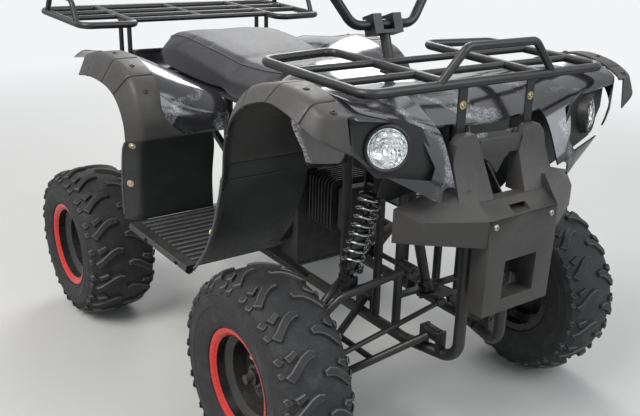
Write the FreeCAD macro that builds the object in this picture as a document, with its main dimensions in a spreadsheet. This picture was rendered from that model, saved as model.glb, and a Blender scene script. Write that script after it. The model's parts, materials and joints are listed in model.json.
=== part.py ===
import FreeCAD, Part
import math
import os
import re
import Sketcher
from FreeCAD import Placement, Rotation, Vector

# Quad bike, in millimetres: +X forward, +Y left, +Z up, on a floor at Z = 0.
# X = 0 lies halfway between the bumper's nose and the end of the rear rack.

doc = FreeCAD.newDocument("quad_bike")
sheet = doc.addObject("Spreadsheet::Sheet", "Sizes")

# alias, value in mm or degrees, meaning
SIZES = (
    ("FrontAxleX", 510, "front axle ahead of the origin"),
    ("Wheelbase", 920, "front axle to rear axle"),
    ("FrontTrack", 820, "between the middles of the front tyres"),
    ("RearTrack", 820, "between the middles of the rear tyres"),
    ("FrontTyreRadius", 231, "front tyre out to the lugs"),
    ("FrontTyreWidth", 165, "front tyre over the sidewalls"),
    ("RearTyreRadius", 210, "rear tyre out to the lugs"),
    ("RearTyreWidth", 190, "rear tyre over the sidewalls"),
    ("LugHeight", 11, "tread lugs over the carcass"),
    ("LugWidth", 17, "tread lugs round the tyre"),
    ("RimRadius", 116, "rim out to its flange"),
    ("BeadRadius", 102, "seat of the tyre on the rim"),
    ("DropRadius", 86, "middle of the rim's barrel"),
    ("RimWall", 4, "steel of the rim"),
    ("RimBend", 52, "where the rim's disc begins to slope"),
    ("FrontRimWidth", 140, "front rim between its faces"),
    ("RearRimWidth", 168, "rear rim between its faces"),
    ("FrontDiscAt", 12, "front rim's disc, outward of the rim's middle"),
    ("RearDiscAt", 10, "rear rim's disc, inward of the rim's middle"),
    ("HubRadius", 27, "wheel hub"),
    ("SpindleRadius", 10, "stub axle of the knuckle"),
    ("RunningFit", 0.05, "radial play of a shaft in its bore"),
    ("SeatGap", 0.3, "play between pieces that only touch"),
    ("KingpinInset", 78, "wheel's middle to its kingpin"),
    ("KingpinRadius", 7, "kingpin bolt"),
    ("KingpinBoss", 13, "knuckle round its kingpin"),
    ("KingpinHeight", 88, "knuckle between its two eyes"),
    ("StemLean", 20, "steering stem from upright, in degrees"),
    ("StemRadius", 12, "steering stem"),
    ("StemAhead", 37, "foot of the stem ahead of the front axle"),
    ("StemFootZ", 318, "foot of the stem"),
    ("StemLength", 600, "stem from its foot to the bar clamp"),
    ("SteerArm", 60, "stem or kingpin to its rod pin, ahead"),
    ("RodPinY", 18, "rod pin beside the stem's middle"),
    ("RodRadius", 6, "tie rod"),
    ("RodPinRadius", 5, "pin of a rod eye"),
    ("RodDrift", 2.5, "play of the rod's outer eye round its pin"),
    ("BarRadius", 11, "handlebar tube"),
    ("BarHalfWidth", 355, "handlebar from its middle to a grip's end"),
    ("BarRise", 155, "handlebar's grips over its clamp"),
    ("GripRadius", 16, "handlebar grip"),
    ("GripLength", 120, "handlebar grip"),
    ("FrameTube", 13, "radius of the frame's tubes"),
    ("CrossTube", 10, "radius of the frame's cross tubes"),
    ("ArmTube", 9, "radius of the wishbones' tubes"),
    ("FrameHalfWidth", 95, "frame rails from the middle"),
    ("RailZ", 250, "lower frame rails"),
    ("TopRailZ", 640, "upper frame rails"),
    ("RackTube", 9.5, "radius of the racks' outer tubes"),
    ("RackBar", 7.5, "radius of the racks' cross bars"),
    ("FrontRackZ", 850, "front rack, middle of its tubes"),
    ("FrontRackAhead", 190, "front rack's leading tube ahead of the axle"),
    ("FrontRackLength", 342, "front rack, leading tube to rear corners"),
    ("FrontRackHalfWidth", 327, "front rack, middle of its side tubes"),
    ("RearRackZ", 800, "rear rack, middle of its tubes"),
    ("RearRackLength", 324, "rear rack, leading tube to trailing tube"),
    ("RearRackHalfWidth", 385, "rear rack, middle of its side tubes"),
    ("TailX", -811, "end of the rear rack"),
    ("NoseX", 811, "front of the bumper"),
    ("PanelWall", 4, "plastic panels"),
    ("BodyHalfWidth", 455, "flares from the middle"),
    ("FlareBevel", 30, "crease of a flare, inward of its edge"),
    ("FlareTop", 80, "inner edge of a flare, inward of its outer edge"),
    ("LegHalfInner", 225, "inner edge of the leg shields"),
    ("FloorZ", 385, "foot platforms"),
    ("SeatBase", 672, "deck under the seat"),
    ("AxleRadius", 15, "rear axle shaft"),
    ("SprocketY", 66, "chain line from the middle"),
    ("SprocketRadius", 88, "rear sprocket out to its teeth"),
    ("DriverRadius", 28, "engine sprocket under the chain"),
    ("DriverAhead", 340, "engine sprocket ahead of the rear axle"),
    ("DriverZ", 335, "engine sprocket"),
    ("DiscRadius", 80, "rear brake disc"),
    ("ChainHeight", 12, "chain over its plates"),
    ("ChainWidth", 13, "chain over its pins"),
    ("StarterRadius", 28, "starter motor"),
    ("MufflerRadius", 42, "exhaust muffler"),
    ("LampRadius", 44, "headlamp's housing"),
)
for row, (alias, value, meaning) in enumerate(SIZES, start=1):
    sheet.set("A%d" % row, meaning)
    sheet.set("B%d" % row, str(value))
    sheet.setAlias("B%d" % row, alias)
doc.recompute()


def size(alias):
    return float(getattr(sheet, alias))


def formula(text):
    """A formula of sizes, such as RimRadius + 2, as the document writes it."""
    return re.sub(r"[A-Z]\w+", lambda word: "Sizes." + word.group(), text)


# Places that several pieces share
front_x = size("FrontAxleX")
rear_x = front_x - size("Wheelbase")
front_z = size("FrontTyreRadius")
rear_z = size("RearTyreRadius")
front_y = size("FrontTrack") / 2
rear_y = size("RearTrack") / 2
king_y = front_y - size("KingpinInset")
wall = size("PanelWall")
gap = size("SeatGap")
fit = size("RunningFit")
lean = math.radians(size("StemLean"))
stem_up = Vector(-math.sin(lean), 0, math.cos(lean))
stem_ahead = Vector(math.cos(lean), 0, math.sin(lean))
stem_foot = Vector(front_x + size("StemAhead"), 0, size("StemFootZ"))
side = Vector(0, 1, 0)
up = Vector(0, 0, 1)
ahead = Vector(1, 0, 0)
SIDES = (("left", 1), ("right", -1))
parts = []


def finish(label, piece):
    """Name a finished piece of the document."""
    piece.Label = label
    parts.append(piece)
    return piece


def keep(label, shape):
    """Put a shape into the document as a finished piece."""
    piece = doc.addObject("Part::Feature", label)
    piece.Shape = shape
    piece.Placement = shape.Placement
    return finish(label, piece)


def fused(shapes):
    """One solid of pieces that meet."""
    whole = shapes[0]
    for shape in shapes[1:]:
        whole = whole.fuse(shape)
    joined = whole.removeSplitter()
    return joined if joined.isValid() else whole


def apart(shapes):
    """Several solids of one node, which don't touch."""
    return Part.makeCompound(shapes)


def mirrored(shape):
    return shape.mirror(Vector(0, 0, 0), side)


def on_side(shape, sign):
    """A left piece as it is, or its mirror image on the right."""
    return shape if sign > 0 else mirrored(shape)


def box(low, high):
    corner = Vector(*[min(a, b) for a, b in zip(low, high)])
    span = Vector(*[abs(a - b) for a, b in zip(low, high)])
    return Part.makeBox(span.x, span.y, span.z, corner)


def rod(start, end, radius):
    """A round bar between two points."""
    run = end - start
    return Part.makeCylinder(radius, run.Length, start, run)


def ring(centre, axis, length, outer, inner):
    """A short pipe, centred on its point."""
    direction = Vector(axis).normalize()
    base = centre - direction * (length / 2)
    body = Part.makeCylinder(outer, length, base, direction)
    hole = Part.makeCylinder(inner, length + 2, base - direction, direction)
    return body.cut(hole)


def tube(points, radius, bend=40):
    """A tube of straight runs, with round bends at the points between."""
    stations = [Vector(*point) for point in points]
    pieces = []
    start = stations[0]
    for before, corner, after in zip(stations, stations[1:], stations[2:]):
        along = (corner - before).normalize()
        away = (after - corner).normalize()
        turn = along.getAngle(away)
        setback = bend * math.tan(turn / 2)
        stop = corner - along * setback
        pieces.append(rod(start, stop, radius))
        axis = along.cross(away).normalize()
        centre = stop + axis.cross(along) * bend
        disc = Part.Face(Part.Wire(Part.makeCircle(radius, stop, along)))
        pieces.append(disc.revolve(centre, axis, math.degrees(turn)))
        start = corner + away * setback
    pieces.append(rod(start, stations[-1], radius))
    return fused(pieces)


def shifted_line(points, distance):
    """An open flat line moved sideways, to its left for a positive distance."""
    normals = []
    for (x0, z0), (x1, z1) in zip(points, points[1:]):
        length = math.hypot(x1 - x0, z1 - z0)
        normals.append(((z0 - z1) / length, (x1 - x0) / length))
    moved = []
    for index, (x, z) in enumerate(points):
        before = normals[max(index - 1, 0)]
        after = normals[min(index, len(normals) - 1)]
        share = 1 + before[0] * after[0] + before[1] * after[1]
        moved.append((x + distance * (before[0] + after[0]) / share,
                      z + distance * (before[1] + after[1]) / share))
    return moved


def plate(points, y_low, y_high):
    """A flat plate in the upright plane along the bike, from (x, z) corners."""
    corners = [Vector(x, y_low, z) for x, z in points]
    face = Part.Face(Part.makePolygon(corners + corners[:1]))
    return face.extrude(Vector(0, y_high - y_low, 0))


def loft(sections):
    """A solid between flat outlines that have the same number of corners."""
    wires = []
    for corners in sections:
        points = [Vector(*corner) for corner in corners]
        wires.append(Part.makePolygon(points + points[:1]))
    return Part.makeLoft(wires, True, True)


def turned(profile, centre, axis=side):
    """A solid of revolution from (radius, along) points about an axis through a point."""
    corners = [Vector(radius, along, 0) for radius, along in profile]
    face = Part.Face(Part.makePolygon(corners + corners[:1]))
    solid = face.revolve(Vector(0, 0, 0), side, 360)
    solid.Placement = Placement(centre, Rotation(side, axis))
    return solid


ACROSS = Rotation(Vector(1, 0, 0), -90)
TURNED_ROUND = Rotation(Vector(0, 0, 1), 180)


def bound(name, kind, sizes, place, turn=Rotation()):
    """A primitive whose sizes and place are formulas of the sheet."""
    solid = doc.addObject(kind, name)
    solid.Placement = Placement(Vector(0, 0, 0), turn)
    for key, term in sizes.items():
        solid.setExpression(key, formula(term))
    for letter, term in zip("xyz", place):
        solid.setExpression("Placement.Base." + letter, formula(term))
    return solid


def bound_bar(name, radius, start_y, length, x, z):
    """A round bar across the bike."""
    return bound(name, "Part::Cylinder", {"Radius": radius, "Height": length}, (x, start_y, z), ACROSS)


def bound_box(name, corner, spans):
    sizes = dict(zip(("Length", "Width", "Height"), spans))
    return bound(name, "Part::Box", sizes, corner)


def united(label, pieces):
    """One piece of bound primitives that meet."""
    whole = doc.addObject("Part::MultiFuse", label)
    whole.Shapes = pieces
    whole.Refine = True
    return finish(label, whole)


def revolved_body(label, corners, place, turn):
    """A body turned about its own Y axis, from (radius, along) formulas."""
    body = doc.addObject("PartDesign::Body", label)
    sketch = body.newObject("Sketcher::SketchObject", label + "_profile")
    plane = [item for item in body.Origin.OriginFeatures if item.Role == "XY_Plane"][0]
    sketch.AttachmentSupport = [(plane, "")]
    sketch.MapMode = "FlatFace"
    terms = [(formula(radius), formula(along)) for radius, along in corners]
    spots = [Vector(sheet.evalExpression(radius), sheet.evalExpression(along), 0) for radius, along in terms]
    for start, end in zip(spots, spots[1:] + spots[:1]):
        sketch.addGeometry(Part.LineSegment(start, end))
    for index, (radius, along) in enumerate(terms):
        following = (index + 1) % len(terms)
        spot = spots[index]
        sketch.addConstraint(Sketcher.Constraint("Coincident", index, 2, following, 1))
        for kind, term, value in (("DistanceX", radius, spot.x), ("DistanceY", along, spot.y)):
            number = sketch.addConstraint(Sketcher.Constraint(kind, -1, 1, index, 1, value))
            sketch.setExpression("Constraints[%d]" % number, term)
    doc.recompute()
    feature = body.newObject("PartDesign::Revolution", label + "_turned")
    feature.Profile = sketch
    feature.ReferenceAxis = (sketch, ["V_Axis"])
    feature.Angle = 360
    sketch.Visibility = False
    body.Placement = Placement(Vector(), turn)
    for letter, term in zip("xyz", place):
        body.setExpression("Placement.Base." + letter, formula(term))
    return finish(label, body)


# Wheels


def rim(label, width, disc_at, hub, bore, hub_from, hub_to, place, sign):
    """A dished steel rim with its hub, whose profile starts at the rim's inner face."""
    middle = width + " / 2"
    disc = middle + " + " + disc_at
    slope = disc + " - 14"
    corners = (
        ("RimRadius", "0.001"), ("RimRadius", "RimWall"), ("BeadRadius", "RimWall"), ("BeadRadius", "26"),
        ("DropRadius", "36"), ("DropRadius", width + " - 36"), ("BeadRadius", width + " - 26"),
        ("BeadRadius", width + " - RimWall"), ("RimRadius", width + " - RimWall"), ("RimRadius", width),
        ("BeadRadius - RimWall", width), ("BeadRadius - RimWall", width + " - 27"),
        ("DropRadius - RimWall", width + " - 38"), ("DropRadius - RimWall", slope),
        ("RimBend", disc), (hub, disc), (hub, disc + " + " + hub_to), (bore, disc + " + " + hub_to),
        (bore, disc + " - " + hub_from), (hub, disc + " - " + hub_from), (hub, disc + " - RimWall"),
        ("RimBend", disc + " - RimWall"), ("DropRadius - RimWall", slope + " - RimWall"),
        ("DropRadius - RimWall", "38"), ("BeadRadius - RimWall", "27"), ("BeadRadius - RimWall", "0.001"),
    )
    x, y, z = place
    start = " - " if sign > 0 else " + "
    return revolved_body(label, corners, (x, y + start + middle, z),
                         Rotation() if sign > 0 else TURNED_ROUND)


def tread_lug(stations, angle, pitch_radius, wide, tall):
    """A bar across the tread, from (along, radius, angle on) stations."""
    sections = []
    for along, radius, onward in stations:
        section = []
        for lift, half in ((-4, wide / 2), (tall, wide / 2 - 2)):
            for step in (-half, half) if lift < 0 else (half, -half):
                turn = angle + onward + step / pitch_radius
                section.append(((radius + lift) * math.sin(turn), along, (radius + lift) * math.cos(turn)))
        sections.append(section)
    return loft(sections)


def tyre(radius, width, rim_width, count):
    """A tyre round the origin: its beads sit on the rim and its lugs reach the full radius."""
    half = width / 2
    bead = rim_width / 2 - size("RimWall") - gap
    seat_r = size("BeadRadius") + gap
    flange = size("RimRadius") + gap
    lug = size("LugHeight")
    tread = radius - lug
    flat = half - 42
    shoulder = half - 16
    outer = [(flange + 8, half - 6), (radius * 0.74, half - 1), (tread * 0.9, half - 4),
             (tread * 0.965, shoulder), (tread, flat)]
    right = [(seat_r, bead), (flange, bead), (flange, rim_width / 2 + gap)] + outer
    profile = [(r, -along) for r, along in right] + right[::-1]
    carcass = turned(profile, Vector())
    pitch = 2 * math.pi / count
    slant = 0.19
    wide = size("LugWidth")
    lugs = []
    for index in range(count):
        for sign, start in ((1, 0), (-1, pitch / 2)):
            bar = ((sign * 5, tread, 0), (sign * flat, tread, slant * 0.6),
                   (sign * (half - 18), tread * 0.967, slant))
            lugs.append(tread_lug(bar, index * pitch + start, tread, wide, lug))
            knob = ((sign * (shoulder - 6), tread * 0.968, 0), (sign * (half - 3), tread * 0.885, 0))
            lugs.append(tread_lug(knob, index * pitch + start + pitch * 0.72, tread, wide * 0.9, lug * 0.55))
    return carcass.multiFuse(lugs)


# end, tyre radius, tyre width, rim width, lugs round each half of the tread
TYRES = (
    ("front", size("FrontTyreRadius"), size("FrontTyreWidth"), size("FrontRimWidth"), 17),
    ("rear", size("RearTyreRadius"), size("RearTyreWidth"), size("RearRimWidth"), 16),
)
wheel_middle = {"front": Vector(front_x, front_y, front_z), "rear": Vector(rear_x, rear_y, rear_z)}
for end, radius, width, rim_width, count in TYRES:
    left_tyre = tyre(radius, width, rim_width, count)
    left_tyre.translate(wheel_middle[end])
    for name, sign in SIDES:
        keep("tyre_%s_%s" % (end, name), on_side(left_tyre, sign))

rear_axle_at = "FrontAxleX - Wheelbase"
for name, sign in SIDES:
    half_track = "%s / 2" if sign > 0 else "-%s / 2"
    rim("rim_front_" + name, "FrontRimWidth", "FrontDiscAt", "HubRadius", "SpindleRadius + RunningFit",
        "44", "16", ("FrontAxleX", half_track % "FrontTrack", "FrontTyreRadius"), sign)
    rim("rim_rear_" + name, "RearRimWidth", "-RearDiscAt", "AxleRadius + 12", "AxleRadius + 6",
        "RimWall - 0.001", "0.001", (rear_axle_at, half_track % "RearTrack", "RearTyreRadius"), sign)

# Rear axle with its hubs, sprocket and brake disc
hub_face = "RearTrack / 2 - RearDiscAt - RimWall - SeatGap"
axle_pieces = [bound_bar("axle_shaft", "AxleRadius", "-(%s) - 34" % hub_face, "2 * (%s) + 68" % hub_face,
                         rear_axle_at, "RearTyreRadius")]
# name, radius, start beside the middle, thickness
AXLE_RINGS = (
    ("flange_left", "50", hub_face + " - 6", "6"),
    ("flange_right", "50", "-(%s)" % hub_face, "6"),
    ("axle_hub_left", "HubRadius", hub_face + " - 48", "48"),
    ("axle_hub_right", "HubRadius", "-(%s)" % hub_face, "48"),
    ("sprocket", "SprocketRadius", "SprocketY - 3", "6"),
    ("sprocket_hub", "34", "SprocketY - 10", "24"),
    ("brake_disc", "DiscRadius", "-SprocketY - 12", "4"),
    ("brake_hub", "34", "-SprocketY - 14", "24"),
)
for name, radius, start, thickness in AXLE_RINGS:
    axle_pieces.append(bound_bar(name, radius, start, thickness, rear_axle_at, "RearTyreRadius"))
united("rear_axle", axle_pieces)

# Steering: stem with its pitman plate, handlebar with its clamp, grips and pad
stem_top = stem_foot + stem_up * size("StemLength")
arm_reach = size("SteerArm")
pin_ahead = stem_ahead * arm_reach
pitman_thick = 8


def stem_plate(points, base, thick):
    """A plate square to the stem, from (ahead, left) corners."""
    corners = [base + stem_ahead * forth + side * left for forth, left in points]
    return Part.Face(Part.makePolygon(corners + corners[:1])).extrude(stem_up * thick)


reach = arm_reach + 12
spread = size("RodPinY") + 11
pitman = stem_plate([(-18, -18), (-18, 18), (reach - 22, spread), (reach, spread),
                     (reach, -spread), (reach - 22, -spread)], stem_foot, pitman_thick)
stem_pieces = [rod(stem_foot, stem_top, size("StemRadius")), pitman]
for name, sign in SIDES:
    pin = stem_foot + pin_ahead + side * sign * size("RodPinY")
    stem_pieces.append(rod(pin - stem_up * 17, pin + stem_up, size("RodPinRadius")))
keep("steering_stem", fused(stem_pieces))

bar_r = size("BarRadius")
clamp_foot = stem_top + stem_up * gap
bar_mid = stem_top + stem_up * (bar_r + 12)
bar_rise = size("BarRise")
half_bar = size("BarHalfWidth")


def bar_point(y, rise, back):
    """A point of the handlebar, above its clamp and behind it."""
    return bar_mid + side * y + Vector(-back, 0, rise)


bar_end = (half_bar, bar_rise - 8, 70)
bar_knee = (196, bar_rise, 30)
bar_half = [bar_point(*place) for place in ((85, 0, 0), bar_knee, bar_end)]
bar_other = [Vector(spot.x, -spot.y, spot.z) for spot in bar_half[::-1]]
bar = tube(bar_other + bar_half, bar_r, 45)
clamps = []
for sign in (1, -1):
    inner = sign * 28 - 12
    clamps.append(stem_plate([(-20, inner), (-20, inner + 24), (20, inner + 24), (20, inner)],
                             clamp_foot, 2 * bar_r + 22))
bridge = stem_plate([(-20, -40), (-20, 40), (20, 40), (20, -40)], clamp_foot, 8)
brace_mid = bar_point(0, bar_rise * 0.5 + 2, 15)
brace_r = 7
brace = rod(brace_mid - side * 155, brace_mid + side * 155, brace_r)
keep("handlebar", fused([bar, bridge, brace] + clamps))
pad = box((brace_mid.x - 26, -75, brace_mid.z - 24), (brace_mid.x + 26, 75, brace_mid.z + 24))
pad = pad.makeFillet(12, [edge for edge in pad.Edges if edge.Length > 140])
keep("bar_pad", pad.cut(rod(brace_mid - side * 90, brace_mid + side * 90, brace_r + gap)))
grips = []
levers = []
for sign in (1, -1):
    end = bar_point(sign * bar_end[0], *bar_end[1:])
    root = bar_point(sign * bar_knee[0], *bar_knee[1:])
    along = (root - end).normalize()
    length = size("GripLength")
    start = end - along * 5
    sleeve = rod(end, end + along * (length + 40), bar_r + gap)
    grips.append(rod(start, start + along * (length + 5), size("GripRadius")).cut(sleeve))
    perch = end + along * (length + 13)
    pivot = perch + Vector(34, 0, -6)
    lever = tube([pivot, pivot - along * 20 + Vector(22, 0, 0), end + Vector(52, 0, -6)], 6, 20)
    arm = rod(perch, pivot + Vector(2, 0, 0), 8)
    housing = rod(perch - along * 11, perch + along * 11, 21)
    levers.append(fused([housing, arm, lever]).cut(rod(perch - along * 40, perch + along * 40, bar_r + gap)))
keep("grips", apart(grips))
keep("levers", apart(levers))

# Front suspension. The wishbones end in eyes over and under each knuckle.
king_half = size("KingpinHeight") / 2
king_r = size("KingpinRadius")
arm_r = size("ArmTube")
pivot_pin = 6
pivot_outer = 15
eye_outer = 15
upper_eye_high = 16
lower_eye_high = 2 * arm_r + 1
lower_eye_z = front_z - king_half - gap - lower_eye_high / 2
upper_eye_z = front_z + king_half + gap + upper_eye_high / 2
lower_pivot = (78, 292)
upper_pivot = (95, 418)
lower_pivots = (145, -85)
upper_pivots = (70, -70)
lower_pivot_long = 44
upper_pivot_long = 40
shock_low = Vector(front_x, 205, 396)
shock_high = Vector(front_x, 146, 596)
shock_pin = 5
shock_eye_long = 26
lug_thick = 6


def pivot_bore(x, y, z):
    return rod(Vector(x - 40, y, z), Vector(x + 40, y, z), pivot_pin)


def kingpin_bore(eye):
    return rod(eye - up * 20, eye + up * 20, king_r + fit)


def wishbone_lower():
    eye = Vector(front_x, king_y, lower_eye_z)
    y, z = lower_pivot
    pieces = [rod(eye - up * (lower_eye_high / 2), eye + up * (lower_eye_high / 2), eye_outer)]
    bores = [kingpin_bore(eye)]
    knee_y = king_y - 46
    for forth in lower_pivots:
        foot = (front_x + forth, y, z)
        knee = (front_x + forth * 0.2, knee_y, lower_eye_z)
        pieces.append(tube([foot, knee, (front_x, king_y - 4, lower_eye_z)], arm_r, 40))
        pieces.append(rod(Vector(foot[0] - lower_pivot_long / 2, y, z),
                          Vector(foot[0] + lower_pivot_long / 2, y, z), pivot_outer))
        bores.append(pivot_bore(*foot))
    brace_y = 190
    share = (brace_y - y) / (knee_y - y)
    brace_z = z + share * (lower_eye_z - z)
    ends = [front_x + forth * (1 - 0.8 * share) for forth in lower_pivots]
    pieces.append(rod(Vector(ends[0], brace_y, brace_z), Vector(ends[1], brace_y, brace_z), arm_r - 2))
    return fused(pieces).cut(Part.makeCompound(bores))


def wishbone_upper():
    eye = Vector(front_x, king_y, upper_eye_z)
    y, z = upper_pivot
    pieces = [rod(eye - up * (upper_eye_high / 2), eye + up * (upper_eye_high / 2), eye_outer)]
    bores = [kingpin_bore(eye)]
    for forth in upper_pivots:
        foot = (front_x + forth, y, z)
        knee = (front_x + forth * 0.25, 235, 366)
        pieces.append(tube([foot, knee, (front_x, king_y - 6, upper_eye_z + 1)], arm_r, 60))
        pieces.append(rod(Vector(foot[0] - upper_pivot_long / 2, y, z),
                          Vector(foot[0] + upper_pivot_long / 2, y, z), pivot_outer))
        bores.append(pivot_bore(*foot))
    for step in (-1, 1):
        near = shock_low.x + step * (shock_eye_long / 2 + gap)
        pieces.append(box((near, shock_low.y - 12, 368), (near + step * lug_thick, shock_low.y + 12,
                                                        shock_low.z + 9)))
    pieces.append(rod(shock_low - ahead * 18, shock_low + ahead * 18, shock_pin - fit))
    return fused(pieces).cut(Part.makeCompound(bores))


lower_left = wishbone_lower()
upper_left = wishbone_upper()
keep("lower_arms", apart([lower_left, mirrored(lower_left)]))
keep("upper_arms", apart([upper_left, mirrored(upper_left)]))


def spring_strut(low, high, coil_r, body_r, turns):
    """A shock absorber: a damper whose coil shows as ridges round it, with plain necks at its eyes."""
    run = high - low
    length = run.Length
    neck = 10
    first = 32
    last = length - 30
    pitch = (last - first) / turns
    inner = coil_r - 9
    profile = [(0, 7), (neck, 7), (neck, 18), (body_r, 18), (body_r, first - 8), (coil_r, first - 8),
               (coil_r, first - 2)]
    for index in range(turns):
        base = first + pitch * index
        profile += [(inner, base), (inner, base + pitch * 0.3), (coil_r, base + pitch * 0.5),
                    (coil_r, base + pitch * 0.7), (inner, base + pitch * 0.95)]
    profile += [(coil_r, last + 2), (coil_r, last + 8), (neck, last + 8), (neck, length - 7), (0, length - 7)]
    return turned(profile, low, run)


def with_eyes(strut, low, high, axis):
    """A strut with a bored eye at each end."""
    for spot in (low, high):
        strut = strut.fuse(ring(spot, axis, shock_eye_long, 12, shock_pin))
    return strut.removeSplitter()


left_shock = with_eyes(spring_strut(shock_low, shock_high, 27, 15, 7), shock_low, shock_high, ahead)
keep("front_shocks", apart([left_shock, mirrored(left_shock)]))

# Knuckles and tie rods. A rod's outer eye lies under the knuckle's arm and may drift round its stud.
arm_thick = 10
arm_z = front_z + 22
rod_eye_high = 16
rod_eye_below = 5
rod_eye_outer = 12
rod_eye_z = arm_z - rod_eye_below - rod_eye_high / 2
rod_r = size("RodRadius")
rod_pin = size("RodPinRadius")
for name, sign in SIDES:
    king = Vector(front_x, king_y, front_z)
    boss = Part.makeCylinder(size("KingpinBoss"), size("KingpinHeight"), king - up * king_half)
    bolt_low = king - up * (king_half + lower_eye_high + 7)
    bolt_high = king + up * (king_half + upper_eye_high + 7)
    bolt = rod(bolt_low, bolt_high, king_r)
    spindle = rod(king, king + side * 128, size("SpindleRadius"))
    shoulder = rod(king, king + side * 30, 17)
    pin = king + Vector(arm_reach, size("RodPinY"), arm_z - front_z)
    corners = [Vector(front_x - 8, king_y - 12, arm_z), Vector(front_x - 8, king_y + 12, arm_z),
               Vector(pin.x - 8, pin.y + 11, arm_z), Vector(pin.x + 11, pin.y + 8, arm_z),
               Vector(pin.x + 11, pin.y - 8, arm_z), Vector(pin.x - 8, pin.y - 11, arm_z)]
    steer_plate = Part.Face(Part.makePolygon(corners + corners[:1])).extrude(up * arm_thick)
    stud = rod(pin + up, pin - up * (rod_eye_below + rod_eye_high + 9), rod_pin)
    keep("knuckle_" + name, on_side(fused([boss, bolt, spindle, shoulder, steer_plate, stud]), sign))

    inner = stem_foot + pin_ahead + side * size("RodPinY")
    inner_eye = inner - stem_up * 10
    outer_eye = Vector(pin.x, pin.y, rod_eye_z)
    run = (outer_eye - inner_eye).normalize()
    pieces = [
        rod(inner_eye - stem_up * 7, inner_eye + stem_up * 7, rod_eye_outer),
        rod(outer_eye - up * (rod_eye_high / 2), outer_eye + up * (rod_eye_high / 2), rod_eye_outer),
        rod(inner_eye + run * 4, outer_eye - run * 4, rod_r),
    ]
    bores = [rod(inner_eye - stem_up * 20, inner_eye + stem_up * 20, rod_pin + fit),
             rod(outer_eye - up * 20, outer_eye + up * 20, rod_pin + size("RodDrift"))]
    keep("tie_rod_" + name, on_side(fused(pieces).cut(Part.makeCompound(bores)), sign))

# Frame
rail_y = size("FrameHalfWidth")
rail_z = size("RailZ")
top_z = size("TopRailZ")
frame_r = size("FrameTube")
cross_r = size("CrossTube")
floor_z = size("FloorZ")
body_y = size("BodyHalfWidth")
leg_y = size("LegHalfInner")
nose_y = 62
nose_x = front_x + 210
nose_top = 540
upright_x = rear_x + 202
swing_z = 316
floor_thick = 6
rack_under = floor_z - floor_thick - gap
OUTRIGGERS_X = (40, 200)
# each tube: radius and its points on the left side, mirrored to the right
LEFT_TUBES = [
    (frame_r, ((rear_x - 170, rail_y, top_z + 8), (rear_x + 180, rail_y, top_z),
               (front_x + 70, rail_y, top_z), (nose_x, nose_y, nose_top), (nose_x, nose_y, rail_z),
               (front_x + 70, rail_y, rail_z), (upright_x + 50, rail_y, rail_z),
               (upright_x, rail_y, rail_z + 50), (upright_x, rail_y, top_z - 2))),
    (frame_r - 2, ((front_x - 160, rail_y, rail_z), (front_x - 160, rail_y, top_z))),
    (frame_r - 2, ((upright_x, rail_y, 470), (rear_x - 110, rail_y, top_z + 4))),
]
# outriggers that carry the foot platforms
carrier_z = rack_under - cross_r
for x in OUTRIGGERS_X:
    LEFT_TUBES.append((cross_r, ((x, rail_y - 3, rail_z), (x, rail_y + 60, 310),
                                 (x, leg_y, carrier_z), (x, body_y - 20, carrier_z))))
frame_tubes = []
for radius, points in LEFT_TUBES:
    left = tube(points, radius, 40)
    frame_tubes += [left, mirrored(left)]
# x, z and half length of the cross tubes, of which four carry a post
bonnet_post_x = front_x + 85
tank_post_x = front_x - 190
seat_post_x = rear_x + 168
tail_post_x = rear_x - 155
CROSS_TUBES = (
    (-95, rail_z, rail_y), (110, rail_z, rail_y), (nose_x, 430, nose_y), (bonnet_post_x, top_z, rail_y),
    (80, top_z, rail_y), (tank_post_x, top_z, rail_y), (upright_x, 440, rail_y),
    (seat_post_x, top_z, rail_y), (tail_post_x, top_z + 8, rail_y),
)
for x, z, half in CROSS_TUBES:
    frame_tubes.append(rod(Vector(x, -half, z), Vector(x, half, z), cross_r))
# posts under the bodywork: x, foot, top
seat_base = size("SeatBase")
bonnet_ridge = 800
tank_ridge = 806
POSTS = (
    (bonnet_post_x, top_z, bonnet_ridge),
    (tank_post_x, top_z, tank_ridge),
    (seat_post_x, top_z, seat_base - gap),
    (tail_post_x, top_z + 8, seat_base - gap),
)
for x, foot, top in POSTS:
    frame_tubes.append(rod(Vector(x, 0, foot), Vector(x, 0, top), cross_r - 2))
y, z = lower_pivot
for sign in (1, -1):
    for forth in lower_pivots:
        x = front_x + forth
        reach_out = lower_pivot_long / 2 + 1
        for step in (-1, 1):
            near = x + step * reach_out
            frame_tubes.append(box((near, sign * (y - 13), rail_z), (near + step * lug_thick,
                                                                   sign * (y + 13), z + 12)))
        pin_half = reach_out + lug_thick + 2
        frame_tubes.append(rod(Vector(x - pin_half, sign * y, z), Vector(x + pin_half, sign * y, z),
                               pivot_pin - fit))
    for step in (-1, 1):
        near = shock_high.x + step * (shock_eye_long / 2 + gap)
        frame_tubes.append(box((near, sign * (rail_y - 7), 586), (near + step * lug_thick,
                                                                sign * (shock_high.y + 12), top_z + 4)))
    pin_at = Vector(shock_high.x, sign * shock_high.y, shock_high.z)
    frame_tubes.append(rod(pin_at - ahead * 18, pin_at + ahead * 18, shock_pin - fit))
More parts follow.
